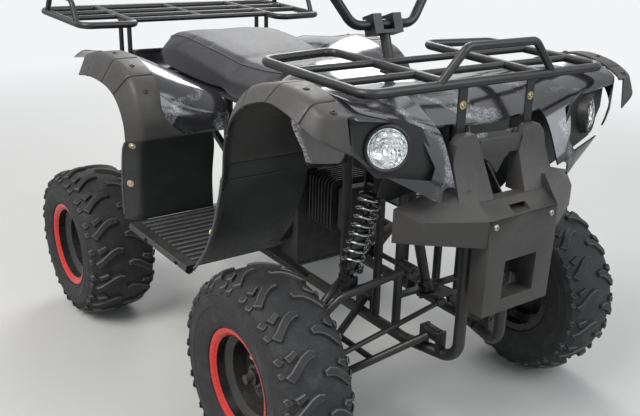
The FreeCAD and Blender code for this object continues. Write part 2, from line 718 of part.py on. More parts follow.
# bumper brackets on the front hoop, and the pins of swing arm and rear shock
bumper_back = 255
for sign in (1, -1):
    frame_tubes.append(box((nose_x, sign * (nose_y - 4), 436),
                           (front_x + bumper_back - gap, sign * (nose_y + 4), 500)))
frame_tubes.append(rod(Vector(upright_x, -rail_y, swing_z), Vector(upright_x, rail_y, swing_z), 6 - fit))
rear_shock_low = Vector(rear_x + 125, 0, 318)
rear_shock_high = Vector(seat_post_x, 0, 586)
for sign in (1, -1):
    near = sign * (shock_eye_long / 2 + gap)
    frame_tubes.append(box((rear_x + 154, near, 572), (rear_x + 182, near + sign * lug_thick, top_z)))
frame_tubes.append(rod(rear_shock_high - side * 18, rear_shock_high + side * 18, shock_pin - fit))
bare_frame = fused(frame_tubes)

# Front tower between the rails: uprights, upper wishbone pins and the stem's two bearings
tower_pieces = []
tower_half = 37
for sign in (1, -1):
    for step in (-1, 1):
        x = front_x + step * tower_half
        tower_pieces.append(rod(Vector(x, sign * (rail_y - 2), rail_z + frame_r + gap),
                                Vector(x, sign * (rail_y - 2), top_z - frame_r - gap), cross_r))
    y, z = upper_pivot
    tower_pieces.append(rod(Vector(front_x - 94, sign * y, z), Vector(front_x + 94, sign * y, z),
                            pivot_pin - fit))
bearing_at = stem_foot + stem_up * (pitman_thick + 14)
tower_pieces.append(box((front_x + tower_half - 11, -rail_y, bearing_at.z - 4),
                        (front_x + tower_half + 7, rail_y, bearing_at.z + 4)))
tower_pieces.append(rod(bearing_at - stem_up * 12, bearing_at + stem_up * 12, 19))
upper_bearing = stem_foot + stem_up * ((top_z - 28 - stem_foot.z) / math.cos(lean))
tower_pieces.append(rod(upper_bearing - stem_up * 12, upper_bearing + stem_up * 12, 19))
tower_pieces.append(box((upper_bearing.x - 8, -14, upper_bearing.z - 5),
                        (front_x - tower_half + 4, 14, upper_bearing.z + 5)))
tower_pieces.append(box((front_x - tower_half - 7, -rail_y, upper_bearing.z - 5),
                        (front_x - tower_half + 7, rail_y, upper_bearing.z + 5)))
tower = fused(tower_pieces)
keep("front_tower", tower.cut(rod(stem_foot - stem_up * 10, stem_top, size("StemRadius") + fit)))


# Bodywork


def banded_panel(stations, end_gap=0):
    """A panel with a turned-down outer band, as one thin solid.

    Each station has the crease's x and z, the band edge's x and z, and the y of the panel's
    inner edge, of the crease and of the band's edge.
    """
    sections = []
    for index, (crease_x, crease_z, edge_x, edge_z, inner_y, crease_y, edge_y) in enumerate(stations):
        drop = math.hypot(edge_x - crease_x, edge_z - crease_z)
        down = ((edge_x - crease_x) / drop, (edge_z - crease_z) / drop)
        line = [(inner_y, 0), (crease_y, 0), (edge_y, -drop)]
        outline = line + shifted_line(line, -wall)[::-1]
        raised = end_gap if index == 0 else 0
        sections.append([(crease_x - down[0] * rise, y, crease_z + raised - down[1] * rise)
                         for y, rise in outline])
    return loft(sections)


bevel = size("FlareBevel")
crease = body_y - bevel
flare_in = body_y - size("FlareTop")
floor_top = floor_z + gap
# x ahead of the front axle: crease x, z, band edge x, z, inner y, crease y, edge y
LEG_SHIELD = (
    (-262, floor_top, -232, floor_top, leg_y, crease + 8, body_y),
    (-200, 462, -168, 458, leg_y, crease + 8, body_y),
    (-165, 530, -136, 518, leg_y, crease + 8, body_y),
    (-138, 600, -108, 590, leg_y, crease + 6, body_y),
    (-126, 655, -92, 648, leg_y + 20, crease + 4, body_y),
)
FRONT_FLARE = (
    (-126, 655, -92, 648, leg_y + 20, crease + 4, body_y),
    (-122, 712, -86, 703, leg_y + 50, crease, body_y),
    (-98, 775, -64, 755, leg_y + 80, crease, body_y),
    (-44, 826, -20, 795, flare_in, crease, body_y),
    (30, 850, 30, 816, flare_in, crease, body_y),
    (85, 857, 82, 826, flare_in, crease, body_y),
    (150, 848, 138, 818, flare_in, crease, body_y),
    (196, 829, 204, 785, flare_in, crease - 4, body_y - 20),
    (212, 823, 222, 757, flare_in - 10, flare_in + 8, flare_in + 4),
)
# x ahead of the rear axle
MUDGUARD = (
    (352, floor_top, 322, floor_top, leg_y, crease, body_y),
    (350, 470, 320, 472, leg_y, crease, body_y),
    (364, 560, 334, 564, leg_y, crease, body_y),
    (384, 598, 352, 592, leg_y + 15, crease, body_y),
)
REAR_FLARE = (
    (384, 598, 352, 592, leg_y + 90, crease, body_y),
    (380, 650, 346, 634, flare_in - 10, crease, body_y),
    (352, 715, 318, 676, flare_in - 10, crease, body_y),
    (300, 752, 276, 700, flare_in - 10, crease, body_y),
    (230, 768, 220, 710, flare_in - 10, crease, body_y),
    (140, 768, 138, 710, flare_in - 10, crease, body_y),
    (58, 752, 74, 700, flare_in - 10, crease, body_y),
)


def placed(stations, x):
    """Stations measured from an axle, in the bike's own frame."""
    return [(station[0] + x, station[1], station[2] + x) + station[3:] for station in stations]


flare_left = banded_panel(placed(FRONT_FLARE, front_x), gap)
shield_left = banded_panel(placed(LEG_SHIELD, front_x))
rear_flare_left = banded_panel(placed(REAR_FLARE, rear_x), gap)
mudguard_left = banded_panel(placed(MUDGUARD, rear_x))
for name, sign in SIDES:
    keep("flare_front_" + name, on_side(flare_left, sign))
keep("rear_flares", apart([rear_flare_left, mirrored(rear_flare_left)]))
keep("leg_shields", apart([shield_left, mirrored(shield_left)]))
keep("mudguards", apart([mudguard_left, mirrored(mudguard_left)]))

# The platforms end where the shields and mudguards stand, so that their top faces lie open
platform_back = rear_x + MUDGUARD[0][0] + gap
platform_front = front_x + LEG_SHIELD[0][0] - gap
rail_at = (body_y - 8, floor_z - 11)
floor_plate = box((platform_back, leg_y - 20, floor_z - floor_thick), (platform_front, body_y, floor_z))
edge_rail = rod(Vector(platform_back, *rail_at), Vector(platform_front, *rail_at), 10)
platform = fused([floor_plate, edge_rail])
for x in OUTRIGGERS_X:
    channel = rod(Vector(x, 0, carrier_z), Vector(x, 600, carrier_z), cross_r + gap)
    platform = platform.cut(channel)
keep("foot_platforms", apart([platform, mirrored(platform)]))


def arched_shell(stations, thick):
    """A thin shell open below, from stations of x and half-outlines of (y, z) from the middle out."""
    outer = []
    inner = []
    low = min(z for x, half in stations for y, z in half) - 60
    for x, half in stations:
        right = [(-y, z) for y, z in half[::-1] if y > 0]
        line = right + list(half)
        moved = shifted_line(line, -thick)
        outer.append([(x, y, z) for y, z in line])
        inner.append([(x, moved[0][0], low)] + [(x, y, z) for y, z in moved] + [(x, moved[-1][0], low)])
    return loft(outer).cut(loft(inner))


bonnet_y = flare_in - gap
# x ahead of the front axle, then (y, z) from the ridge outwards
BONNET = (
    (-44, ((0, 800), (140, 808), (235, 814), (325, 806), (bonnet_y, 806), (bonnet_y, 770))),
    (30, ((0, 808), (140, 814), (235, 822), (325, 826), (bonnet_y, 846), (bonnet_y, 790))),
    (85, ((0, bonnet_ridge), (140, 808), (235, 820), (325, 830), (bonnet_y, 854), (bonnet_y, 790))),
    (150, ((0, 776), (140, 783), (235, 808), (325, 828), (bonnet_y, 844), (bonnet_y, 780))),
    (200, ((0, 742), (140, 752), (235, 786), (325, 812), (bonnet_y - 10, 820), (bonnet_y - 10, 730))),
    (246, ((0, 655), (120, 658), (165, 672), (176, 668), (180, 664), (182, 640))),
)
bonnet = arched_shell([(front_x + x, half) for x, half in BONNET], wall)
bumper_notch = 148
notch_back = 176
bonnet = bonnet.cut(box((front_x + notch_back, -bumper_notch, 580), (front_x + 300, bumper_notch, 900)))
lamp_at = Vector(front_x + 200, 283, 752)
lamp_face = Vector(0.9, 0.4, 0.08).normalize()
lamp_r = size("LampRadius")
# radius and distance ahead of the lamp's middle: bucket, bezel and the sunk lens
LAMP_PROFILE = ((0, -52), (26, -50), (lamp_r - 6, -22), (lamp_r, -16), (lamp_r, 16), (lamp_r - 3, 16),
                (lamp_r - 8, 2), (24, 8), (0, 10))
lamp = turned(LAMP_PROFILE, lamp_at, lamp_face)
for sign in (1, -1):
    hole = rod(lamp_at - lamp_face * 70, lamp_at + lamp_face * 90, lamp_r + gap)
    bonnet = bonnet.cut(on_side(hole, sign))
bonnet_shell = sorted(bonnet.Solids, key=lambda solid: solid.Volume)[-1]
keep("bonnet", bonnet_shell)
keep("headlamps", apart([lamp, mirrored(lamp)]))

# Rear fender: two slanting sides beside the seat, joined by the seat's deck
fender_in = 192
fender_out = REAR_FLARE[-1][4] - gap
# x, z of the outer edge, x, z of a point below it, fall to the inner edge
FENDER = (
    (384, 598 + gap, 352, 592 + gap, 0), (380, 650, 346, 634, 12), (352, 715, 318, 676, 44),
    (300, 752, 276, 700, 78), (230, 768, 220, 710, 92), (140, 768, 138, 710, 92), (58, 752, 74, 700, 78),
    (-40, 738, -40, 700, 62), (-130, 724, -130, 690, 50), (-205, 694, -205, 660, 20),
)
sections = []
for crease_x, crease_z, low_x, low_z, fall in FENDER:
    drop = math.hypot(low_x - crease_x, low_z - crease_z)
    down = ((low_x - crease_x) / drop, (low_z - crease_z) / drop)
    outer_y = min(fender_out, leg_y + 90 - gap) if crease_z < 600 else fender_out
    line = [(fender_in - 4, -fall), ((fender_in + outer_y) / 2, -fall * 0.42), (outer_y, 0)]
    outline = line + [(y, rise - wall) for y, rise in line[::-1]]
    sections.append([(rear_x + crease_x - down[0] * rise, y, crease_z - down[1] * rise)
                     for y, rise in outline])
fender_side = loft(sections)
deck = box((rear_x - 205, -fender_in, seat_base), (rear_x + 296, fender_in, seat_base + wall))
tail_panel = box((rear_x - 208, -fender_in, seat_base), (rear_x - 202, fender_in, seat_base + 30))
keep("rear_fender", fused([fender_side, mirrored(fender_side), deck, tail_panel]))

# Seat: soft, as one closed form on its deck
seat_low = seat_base + wall + gap
# x ahead of the rear axle, half widths at the top and at the bottom, bottom, crown
SEAT = (
    (-96, 108, 138, seat_low, 742), (-60, 134, 166, seat_low, 770), (70, 150, 182, seat_low, 788),
    (230, 146, 182, seat_low, 778), (300, 138, 176, seat_low, 768), (334, 128, 172, 664, 760),
    (430, 112, 160, 662, 758), (474, 98, 142, 668, 762),
)
seat_sections = []
for x, top_half, low_half, low, high in SEAT:
    half = [(low_half, low), (low_half + 4, high - 40), (top_half, high - 6), (top_half * 0.5, high)]
    other = [(-y, z) for y, z in half[::-1]]
    seat_sections.append([(rear_x + x, y, z) for y, z in half + other])
keep("seat", loft(seat_sections))

# x ahead of the front axle, then (y, z) from the ridge outwards
TANK = (
    (-434, ((0, 764), (70, 758), (130, 728), (165, 690), (178, 600))),
    (-340, ((0, tank_ridge), (70, 797), (130, 765), (178, 704), (190, 592))),
    (-190, ((0, tank_ridge), (60, 799), (112, 782), (170, 722), (180, 600))),
    (-48, ((0, 800), (60, 798), (120, 790), (170, 740), (180, 640))),
)
tank = arched_shell([(front_x + x, half) for x, half in TANK], wall)
stem_hole = rod(stem_foot + stem_up * 400, stem_foot + stem_up * 640, size("StemRadius") + 14)
tank = tank.cut(stem_hole)
tank_shell = sorted(tank.Solids, key=lambda solid: solid.Volume)[-1]
keep("tank_cover", tank_shell)

# Racks
rack_r = size("RackTube")
rack_bar = size("RackBar")
rack_z = size("FrontRackZ")
rack_front = front_x + size("FrontRackAhead")
rack_back = rack_front - size("FrontRackLength")
rack_y = size("FrontRackHalfWidth")
inner_y = 132
front_loop = tube([(rack_front, 0, rack_z), (rack_front, rack_y, rack_z), (rack_back, rack_y, rack_z),
                   (rack_back - 34, inner_y, rack_z), (rack_front - 3, inner_y - 8, rack_z)], rack_r, 28)
rack_pieces = [front_loop, mirrored(front_loop)]
for x in (rack_front - 102, rack_front - 228):
    rack_pieces.append(rod(Vector(x, -rack_y, rack_z), Vector(x, rack_y, rack_z), rack_bar))
hoop = tube([(rack_front, -160, rack_z), (rack_front + 4, -95, rack_z + 70),
             (rack_front + 4, 95, rack_z + 70), (rack_front, 160, rack_z)], rack_r - 1, 26)
rack_pieces.append(hoop)
post_back = 194
leg_y_mid = 95
for sign in (1, -1):
    rack_pieces.append(box((front_x + post_back - gap - 4, sign * (leg_y_mid - 11), 706),
                           (front_x + post_back - gap, sign * (leg_y_mid + 11), rack_z)))
keep("front_rack", fused(rack_pieces))

rear_rack_z = size("RearRackZ")
tail_x = size("TailX") + rack_r
rear_front = tail_x + size("RearRackLength")
rear_rack_y = size("RearRackHalfWidth")
bend_y = 232
rear_loop = tube([(tail_x, 0, rear_rack_z), (tail_x, rear_rack_y, rear_rack_z),
                  (rear_front, rear_rack_y, rear_rack_z), (rear_front + 12, bend_y, rear_rack_z),
                  (tail_x + 3, bend_y - 10, rear_rack_z)], rack_r, 32)
rack_pieces = [rear_loop, mirrored(rear_loop)]
# bars across: x behind the leading tube, half length
for back, half in ((62, bend_y), (140, rear_rack_y), (225, rear_rack_y)):
    x = rear_front - back
    rack_pieces.append(rod(Vector(x, -half, rear_rack_z), Vector(x, half, rear_rack_z), rack_bar))
spine_front = rear_front - 62
rack_pieces.append(rod(Vector(spine_front, 0, rear_rack_z), Vector(tail_x, 0, rear_rack_z), rack_bar + 0.5))
leg_foot = 640
leg_side = bend_y - 4
for sign in (1, -1):
    guard = tube([(rear_front - 40, sign * rear_rack_y, rear_rack_z),
                  (rear_front - 70, sign * rear_rack_y, rear_rack_z + 62),
                  (tail_x + 90, sign * rear_rack_y, rear_rack_z + 62),
                  (tail_x + 50, sign * rear_rack_y, rear_rack_z)], rack_bar, 30)
    rack_pieces.append(guard)
    for x in (spine_front, rear_front - 122):
        rack_pieces.append(rod(Vector(x, sign * leg_side, rear_rack_z), Vector(x, sign * leg_side, leg_foot),
                               rack_bar - 1))
rack = fused(rack_pieces)
fender_shadow = fender_side.copy()
fender_shadow.translate(up * gap)
feet = fused([fender_side, fender_shadow])
rack = rack.cut(feet).cut(mirrored(feet))
keep("rear_rack", sorted(rack.Solids, key=lambda solid: solid.Volume)[-1])

# Bumper: two posts, a cross bar, a body with a window below, and two swept wings
nose_front = size("NoseX")


def level_section(z, front, back, inner, outer):
    """A flat outline at one height, between two y values on the left."""
    return [(front_x + front, inner, z), (front_x + front, outer, z), (front_x + back, outer, z),
            (front_x + back, inner, z)]


# z, front and back ahead of the front axle, inner and outer y
POST = ((622, 255, 198, 44, 138), (703, 219, post_back, 51, 132), (738, 217, post_back, 64, 124),
        (754, 216, post_back, 74, 109))
post_left = loft([level_section(*station) for station in POST])
# share of the way from the wing's back to its front, and z, at its root and its tip
WING_ROOT = ((0, 664), (0.5, 654), (1, 604), (1, 549), (0, 549))
WING_TIP = ((0, 625), (0.5, 616), (1, 606), (1, 561), (0, 556))
wing_left = loft([
    [(front_x + 202 + share * 95, 112 - share * 15, z) for share, z in WING_ROOT],
    [(front_x + 188 + share * 46, 249 - share * 30, z) for share, z in WING_TIP]])
bumper_pieces = [post_left, mirrored(post_left), wing_left, mirrored(wing_left)]
bumper_pieces.append(box((front_x + 176, -58, 704), (front_x + 214, 58, 738)))
bumper_pieces.append(plate([(front_x + 230, 560), (front_x + 230, 628), (front_x + 256, 628),
                            (nose_front - 4, 604), (nose_front, 549), (nose_front - 3, 398),
                            (front_x + bumper_back, 398), (front_x + bumper_back, 540)], -97, 97))
bumper = fused(bumper_pieces)
window = box((front_x + 200, -46, 428), (nose_front + 20, 46, 512))
slot = box((front_x + 210, -24, 606), (nose_front + 20, 24, 618))
keep("bumper", bumper.cut(window).cut(slot))

# Engine, its cylinder with fins, starter, exhaust
crank_low = "RailZ + FrameTube + SeatGap"
driver_at = rear_axle_at + " + DriverAhead"
engine_pieces = [
    bound_box("crankcase", ("-120", "-88", crank_low), ("255", "140", "196")),
    bound_box("crank_side", ("-24", "50", crank_low), ("159", "38", "178")),
    bound_bar("clutch_cover", "66", "-116", "30", "50", "368"),
    bound_bar("dynamo_cover", "58", "86", "24", "50", "360"),
    bound_bar("driver_shaft", "12", "40", "SprocketY - 28", driver_at, "DriverZ"),
    bound_bar("driver_sprocket", "DriverRadius", "SprocketY - 3", "6", driver_at, "DriverZ"),
    bound_box("starter_seat", ("108", "-92", "440"), ("24", "64", "84")),
]
united("engine", engine_pieces)
barrel_z = 450
barrel_from = 135 + gap
fins = [rod(Vector(barrel_from, 0, barrel_z), Vector(front_x - 220, 0, barrel_z), 44)]
fin_half = 68
for index in range(8):
    x = 156 + index * 13
    fin = box((x, -fin_half, barrel_z - fin_half), (x + 4, fin_half, barrel_z + fin_half))
    fins.append(fin.makeFillet(18, [edge for edge in fin.Edges if abs(edge.Length - 4) < 0.01]))
head_front = front_x - 204
head = box((head_front - 48, -58, barrel_z - 58), (head_front, 58, barrel_z + 58))
fins.append(head.makeFillet(14, head.Edges))
keep("cylinder", fused(fins))
starter_z = "524 + SeatGap + StarterRadius"
united("starter_motor", [
    bound_bar("starter_body", "StarterRadius", "-104", "92", "150", starter_z),
    bound_bar("starter_cap", "StarterRadius - 11", "-116", "14", "150", starter_z),
    bound_bar("starter_nose", "StarterRadius - 14", "-14", "16", "150", starter_z),
    bound_box("starter_foot", ("112", "-80", "524 + SeatGap"), ("36", "44", "20")),
])
pipe_r = 13
head_mid = head_front - 24
pipe = tube([(head_mid, 20, barrel_z - 58 - gap), (head_mid, 20, 352), (head_mid - 40, 140, 352),
             (-80, 150, 352), (-190, 185, 470), (rear_x + 120, 185, 510)], pipe_r, 26)
muffler = rod(Vector(rear_x + 130, 185, 510), Vector(rear_x - 170, 185, 510), size("MufflerRadius"))
hanger_low = (rear_x - 100, rail_y + frame_r + gap, 516)
hanger = box(hanger_low, (rear_x - 70, 160, 522))
hanger_up = box(hanger_low, (rear_x - 70, rail_y + frame_r + 6, top_z))
keep("exhaust", fused([pipe, muffler, hanger, hanger_up]))

# Swing arm, rear shock, chain
axle = Vector(rear_x, 0, rear_z)
axle_r = size("AxleRadius")
carrier_half = 50
swing_half = 78
swing = [rod(axle - side * carrier_half, axle + side * carrier_half, 34)]
pivot = Vector(upright_x, 0, swing_z)
for sign in (1, -1):
    swing.append(rod(Vector(pivot.x, sign * 44, swing_z), Vector(rear_x + 24, sign * 38, rear_z + 12), 13))
swing.append(rod(pivot - side * swing_half, pivot + side * swing_half, 14))
for sign in (1, -1):
    near = sign * (shock_eye_long / 2 + gap)
    swing.append(box((rear_shock_low.x - 13, near, rear_shock_low.z - 56),
                     (rear_shock_low.x + 13, near + sign * lug_thick, rear_shock_low.z + 9)))
swing.append(rod(Vector(rear_shock_low.x, -44, 268), Vector(rear_shock_low.x, 44, 268), 11))
swing.append(rod(rear_shock_low - side * 18, rear_shock_low + side * 18, shock_pin - fit))
bores = [rod(axle - side * 80, axle + side * 80, axle_r + fit),
         rod(pivot - side * 90, pivot + side * 90, 6)]
keep("swing_arm", fused(swing).cut(Part.makeCompound(bores)))
rear_shock = spring_strut(rear_shock_low, rear_shock_high, 30, 17, 7)
keep("rear_shock", with_eyes(rear_shock, rear_shock_low, rear_shock_high, side))


def chain_loop(front, back, small, large, y_mid, high, width):
    """A loop of even height round two sprockets, as a chain runs."""
    run = back - front
    length = run.Length
    along = Vector(run).normalize()
    square = Vector(-along.z, 0, along.x)
    if square.z < 0:
        square = square * -1
    slope = math.asin((large - small) / length)

    def outline(extra):
        r0 = small + extra
        r1 = large + extra
        n_top = square * math.cos(slope) - along * math.sin(slope)
        n_low = square * -math.cos(slope) - along * math.sin(slope)
        p0 = front + n_top * r0
        p1 = back + n_top * r1
        p2 = back + n_low * r1
        p3 = front + n_low * r0
        edges = [Part.LineSegment(p0, p1).toShape(),
                 Part.Arc(p1, back + along * r1, p2).toShape(),
                 Part.LineSegment(p2, p3).toShape(),
                 Part.Arc(p3, front - along * r0, p0).toShape()]
        return Part.Face(Part.Wire(edges))

    body = outline(high).cut(outline(0))
    body.translate(Vector(0, y_mid - width / 2, 0))
    return body.extrude(Vector(0, width, 0))


# The frame's posts reach up to just under the bonnet and the tank cover
lowered = [panel.copy() for panel in (bonnet_shell, tank_shell)]
for panel in lowered:
    panel.translate(up * -gap)
trimmed = bare_frame.cut(Part.makeCompound([bonnet_shell, tank_shell])).cut(Part.makeCompound(lowered))
keep("frame", sorted(trimmed.Solids, key=lambda solid: solid.Volume)[-1])

drive = Vector(rear_x + size("DriverAhead"), 0, size("DriverZ"))
keep("chain", chain_loop(drive, axle, size("DriverRadius") + gap, size("SprocketRadius") + 0.8,
                         size("SprocketY"), size("ChainHeight"), size("ChainWidth")))

lamp_box = bound_box("tail_lamp_block", (rear_axle_at + " - 208 - SeatGap - 16", "-60", "SeatBase - 6"),
                     ("16", "120", "34"))
rounded = doc.addObject("Part::Fillet", "tail_lamp")
rounded.Base = lamp_box
doc.recompute()
rounded.Edges = [(index + 1, 5.0, 5.0) for index in range(12)]
finish("tail_lamp", rounded)

# Every piece is whole before anything is written
doc.recompute()
for item in doc.Objects:
    if "Invalid" in item.State or "Error" in item.State:
        raise RuntimeError("failed: " + item.Label)
for piece in parts:
    if piece.Shape.isNull() or not piece.Shape.isValid() or not piece.Shape.Solids:
        raise RuntimeError("bad shape: " + piece.Label)
os.makedirs("parts", exist_ok=True)
for piece in parts:
    piece.Shape.exportStep("parts/" + piece.Label + ".step")
print("pieces", len(parts))
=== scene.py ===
"""Dresses the frame of a small utility quad bike: tyres, panels, seat, racks, lamps and stage."""

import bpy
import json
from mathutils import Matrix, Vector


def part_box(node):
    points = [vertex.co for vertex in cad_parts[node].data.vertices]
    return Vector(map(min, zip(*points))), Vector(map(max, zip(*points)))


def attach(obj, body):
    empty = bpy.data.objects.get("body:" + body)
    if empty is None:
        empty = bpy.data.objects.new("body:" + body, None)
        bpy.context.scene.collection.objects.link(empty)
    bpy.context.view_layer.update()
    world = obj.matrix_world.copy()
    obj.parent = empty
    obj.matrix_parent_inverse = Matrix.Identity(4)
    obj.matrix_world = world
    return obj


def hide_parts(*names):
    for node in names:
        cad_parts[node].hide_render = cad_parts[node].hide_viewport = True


bl_info = {
    "name": "Quad bike",
    "version": (1, 0, 0),
    "blender": (4, 5, 0),
    "location": "3D View > Sidebar > Quad bike",
    "description": "Bodywork, wheels, seat and small parts for the quad bike's frame",
    "category": "Object",
}

import json
import math

import bmesh
import bpy
from bpy.props import FloatProperty, FloatVectorProperty, IntProperty, PointerProperty
from mathutils import Matrix, Vector
from mathutils.bvhtree import BVHTree

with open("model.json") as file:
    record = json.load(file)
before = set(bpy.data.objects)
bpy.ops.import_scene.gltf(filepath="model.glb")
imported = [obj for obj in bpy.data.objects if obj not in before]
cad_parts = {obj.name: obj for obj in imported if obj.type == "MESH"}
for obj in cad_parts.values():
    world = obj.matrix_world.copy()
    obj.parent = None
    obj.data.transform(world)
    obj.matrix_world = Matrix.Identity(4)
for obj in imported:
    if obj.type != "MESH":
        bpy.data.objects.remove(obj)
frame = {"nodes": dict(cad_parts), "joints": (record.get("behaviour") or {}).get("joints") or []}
scene = bpy.context.scene

MM = 0.001
TURN = 2 * math.pi
SIDES = (("left", 1), ("right", -1))
JOINTS = {joint["name"]: joint for joint in frame["joints"]}
AXLE_FRONT = Vector(JOINTS["wheel_front_left"]["pos_m"]) / MM
AXLE_REAR = Vector(JOINTS["rear_axle"]["pos_m"]) / MM
STEM_FOOT = Vector(JOINTS["steer"]["pos_m"]) / MM
STEM_UP = Vector(JOINTS["steer"]["axis"]).normalized()
REAR_TRACK = (sum(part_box("tyre_rear_left"), Vector()) / 2).y / MM

materials = {}


class QuadColours(bpy.types.PropertyGroup):
    """Colours of the bodywork and wheels."""

    panel: FloatVectorProperty(name="Panels", description="Matt plastic of flares and bumper",
                               subtype="COLOR", size=3, default=(0.040, 0.038, 0.037), min=0, max=1)
    gloss: FloatVectorProperty(name="Gloss", description="Painted bonnet, tank cover and fender",
                               subtype="COLOR", size=3, default=(0.012, 0.012, 0.015), min=0, max=1)
    streak: FloatVectorProperty(name="Streaks", description="Pale streaks in the gloss paint",
                                subtype="COLOR", size=3, default=(0.55, 0.56, 0.60), min=0, max=1)
    rubber: FloatVectorProperty(name="Rubber", description="Tyres",
                                subtype="COLOR", size=3, default=(0.017, 0.0175, 0.019), min=0, max=1)
    lip: FloatVectorProperty(name="Rim lip", description="Painted ring on each rim",
                             subtype="COLOR", size=3, default=(0.62, 0.022, 0.016), min=0, max=1)
    seat: FloatVectorProperty(name="Seat", description="Vinyl of the seat",
                              subtype="COLOR", size=3, default=(0.028, 0.028, 0.033), min=0, max=1)


class QuadSizes(bpy.types.PropertyGroup):
    """Sizes that a user would change."""

    wall: FloatProperty(name="Panel wall", description="Thickness of the plastic panels",
                        default=0.004, min=0.002, max=0.006, unit="LENGTH")
    lug_height: FloatProperty(name="Lug height", description="Tread lugs over the carcass",
                              default=0.0105, min=0.004, max=0.011, unit="LENGTH")
    lugs_front: IntProperty(name="Front lugs", description="Lugs round each half of a front tyre",
                            default=17, min=10, max=30)
    lugs_rear: IntProperty(name="Rear lugs", description="Lugs round each half of a rear tyre",
                           default=16, min=10, max=30)
    coil_turns: IntProperty(name="Coil turns", description="Turns of each spring", default=8, min=4, max=14)
    seat_swell: FloatProperty(name="Seat swell", description="How far the seat's cover may swell",
                              default=0.007, min=0.0, max=0.02, unit="LENGTH")


def colours():
    return bpy.context.scene.quad_colours


def sizes():
    return bpy.context.scene.quad_sizes


# Materials


def node_group(name, inputs, outputs):
    """A shader group with its inputs (name, kind, default) and outputs (name, kind)."""
    tree = bpy.data.node_groups.new(name, "ShaderNodeTree")
    for label, kind, default in inputs:
        socket = tree.interface.new_socket(label, in_out="INPUT", socket_type=kind)
        socket.default_value = default
    for label, kind in outputs:
        tree.interface.new_socket(label, in_out="OUTPUT", socket_type=kind)
    entry = tree.nodes.new("NodeGroupInput")
    leave = tree.nodes.new("NodeGroupOutput")
    return tree, entry, leave


def add_node(tree, kind, values=(), links=(), **settings):
    """A node with its settings, plain socket values and incoming links."""
    node = tree.nodes.new(kind)
    for key, value in settings.items():
        setattr(node, key, value)
    for socket, value in dict(values).items():
        node.inputs[socket].default_value = value
    for socket, source in dict(links).items():
        tree.links.new(source, node.inputs[socket])
    return node


def make_mottle_group():
    """Broad and fine variation of a finish, from the place on the object."""
    tree, entry, leave = node_group("mottle", [("Scale", "NodeSocketFloat", 20.0)],
                                    [("Broad", "NodeSocketFloat"), ("Fine", "NodeSocketFloat")])
    place = add_node(tree, "ShaderNodeTexCoord")
    broad = add_node(tree, "ShaderNodeTexNoise", {"Detail": 5.0, "Roughness": 0.6},
                     {"Vector": place.outputs["Object"], "Scale": entry.outputs["Scale"]})
    more = add_node(tree, "ShaderNodeMath", {1: 9.0}, {0: entry.outputs["Scale"]}, operation="MULTIPLY")
    fine = add_node(tree, "ShaderNodeTexNoise", {"Detail": 4.0, "Roughness": 0.65},
                    {"Vector": place.outputs["Object"], "Scale": more.outputs[0]})
    tree.links.new(broad.outputs["Fac"], leave.inputs["Broad"])
    tree.links.new(fine.outputs["Fac"], leave.inputs["Fine"])
    return tree


def make_grain_group():
    """Height of a moulded grain: small rounded cells over a slow unevenness."""
    tree, entry, leave = node_group("moulded_grain", [("Scale", "NodeSocketFloat", 700.0)],
                                    [("Height", "NodeSocketFloat")])
    place = add_node(tree, "ShaderNodeTexCoord")
    cells = add_node(tree, "ShaderNodeTexVoronoi", {"Randomness": 1.0},
                     {"Vector": place.outputs["Object"], "Scale": entry.outputs["Scale"]},
                     feature="SMOOTH_F1")
    slow = add_node(tree, "ShaderNodeTexNoise", {"Scale": 60.0, "Detail": 3.0},
                    {"Vector": place.outputs["Object"]})
    both = add_node(tree, "ShaderNodeMath", {1: 0.6}, {0: cells.outputs["Distance"], 2: slow.outputs["Fac"]},
                    operation="MULTIPLY_ADD")
    tree.links.new(both.outputs[0], leave.inputs["Height"])
    return tree


def make_dust_group():
    """Where dust settles: on faces that look up, in patches."""
    tree, entry, leave = node_group("settled_dust", [("Amount", "NodeSocketFloat", 0.3)],
                                    [("Mask", "NodeSocketFloat")])
    place = add_node(tree, "ShaderNodeTexCoord")
    split = add_node(tree, "ShaderNodeSeparateXYZ", links={0: place.outputs["Normal"]})
    facing = add_node(tree, "ShaderNodeMapRange", {"From Min": -0.2, "From Max": 1.0},
                      {"Value": split.outputs["Z"]})
    patches = add_node(tree, "ShaderNodeTexNoise", {"Scale": 14.0, "Detail": 8.0, "Roughness": 0.72},
                       {"Vector": place.outputs["Object"]})
    spread = add_node(tree, "ShaderNodeMapRange", {"From Min": 0.38, "From Max": 0.78},
                      {"Value": patches.outputs["Fac"]})
    part = add_node(tree, "ShaderNodeMath", links={0: facing.outputs[0], 1: spread.outputs[0]},
                    operation="MULTIPLY")
    mask = add_node(tree, "ShaderNodeMath", links={0: part.outputs[0], 1: entry.outputs["Amount"]},
                    operation="MULTIPLY")
    tree.links.new(mask.outputs[0], leave.inputs["Mask"])
    return tree


GROUPS = {}


def blend_colour(tree, factor, low, high):
    """Mix of two colours, each a plain colour or a socket."""
    node = tree.nodes.new("ShaderNodeMix")
    node.data_type = "RGBA"
    tree.links.new(factor, node.inputs["Factor"])
    for socket, value in ((node.inputs[6], low), (node.inputs[7], high)):
        if isinstance(value, bpy.types.NodeSocket):
            tree.links.new(value, socket)
        else:
            socket.default_value = (*value, 1.0)
    return node.outputs[2]


def tinted(colour, factor):
    return tuple(min(1.0, channel * factor) for channel in colour)


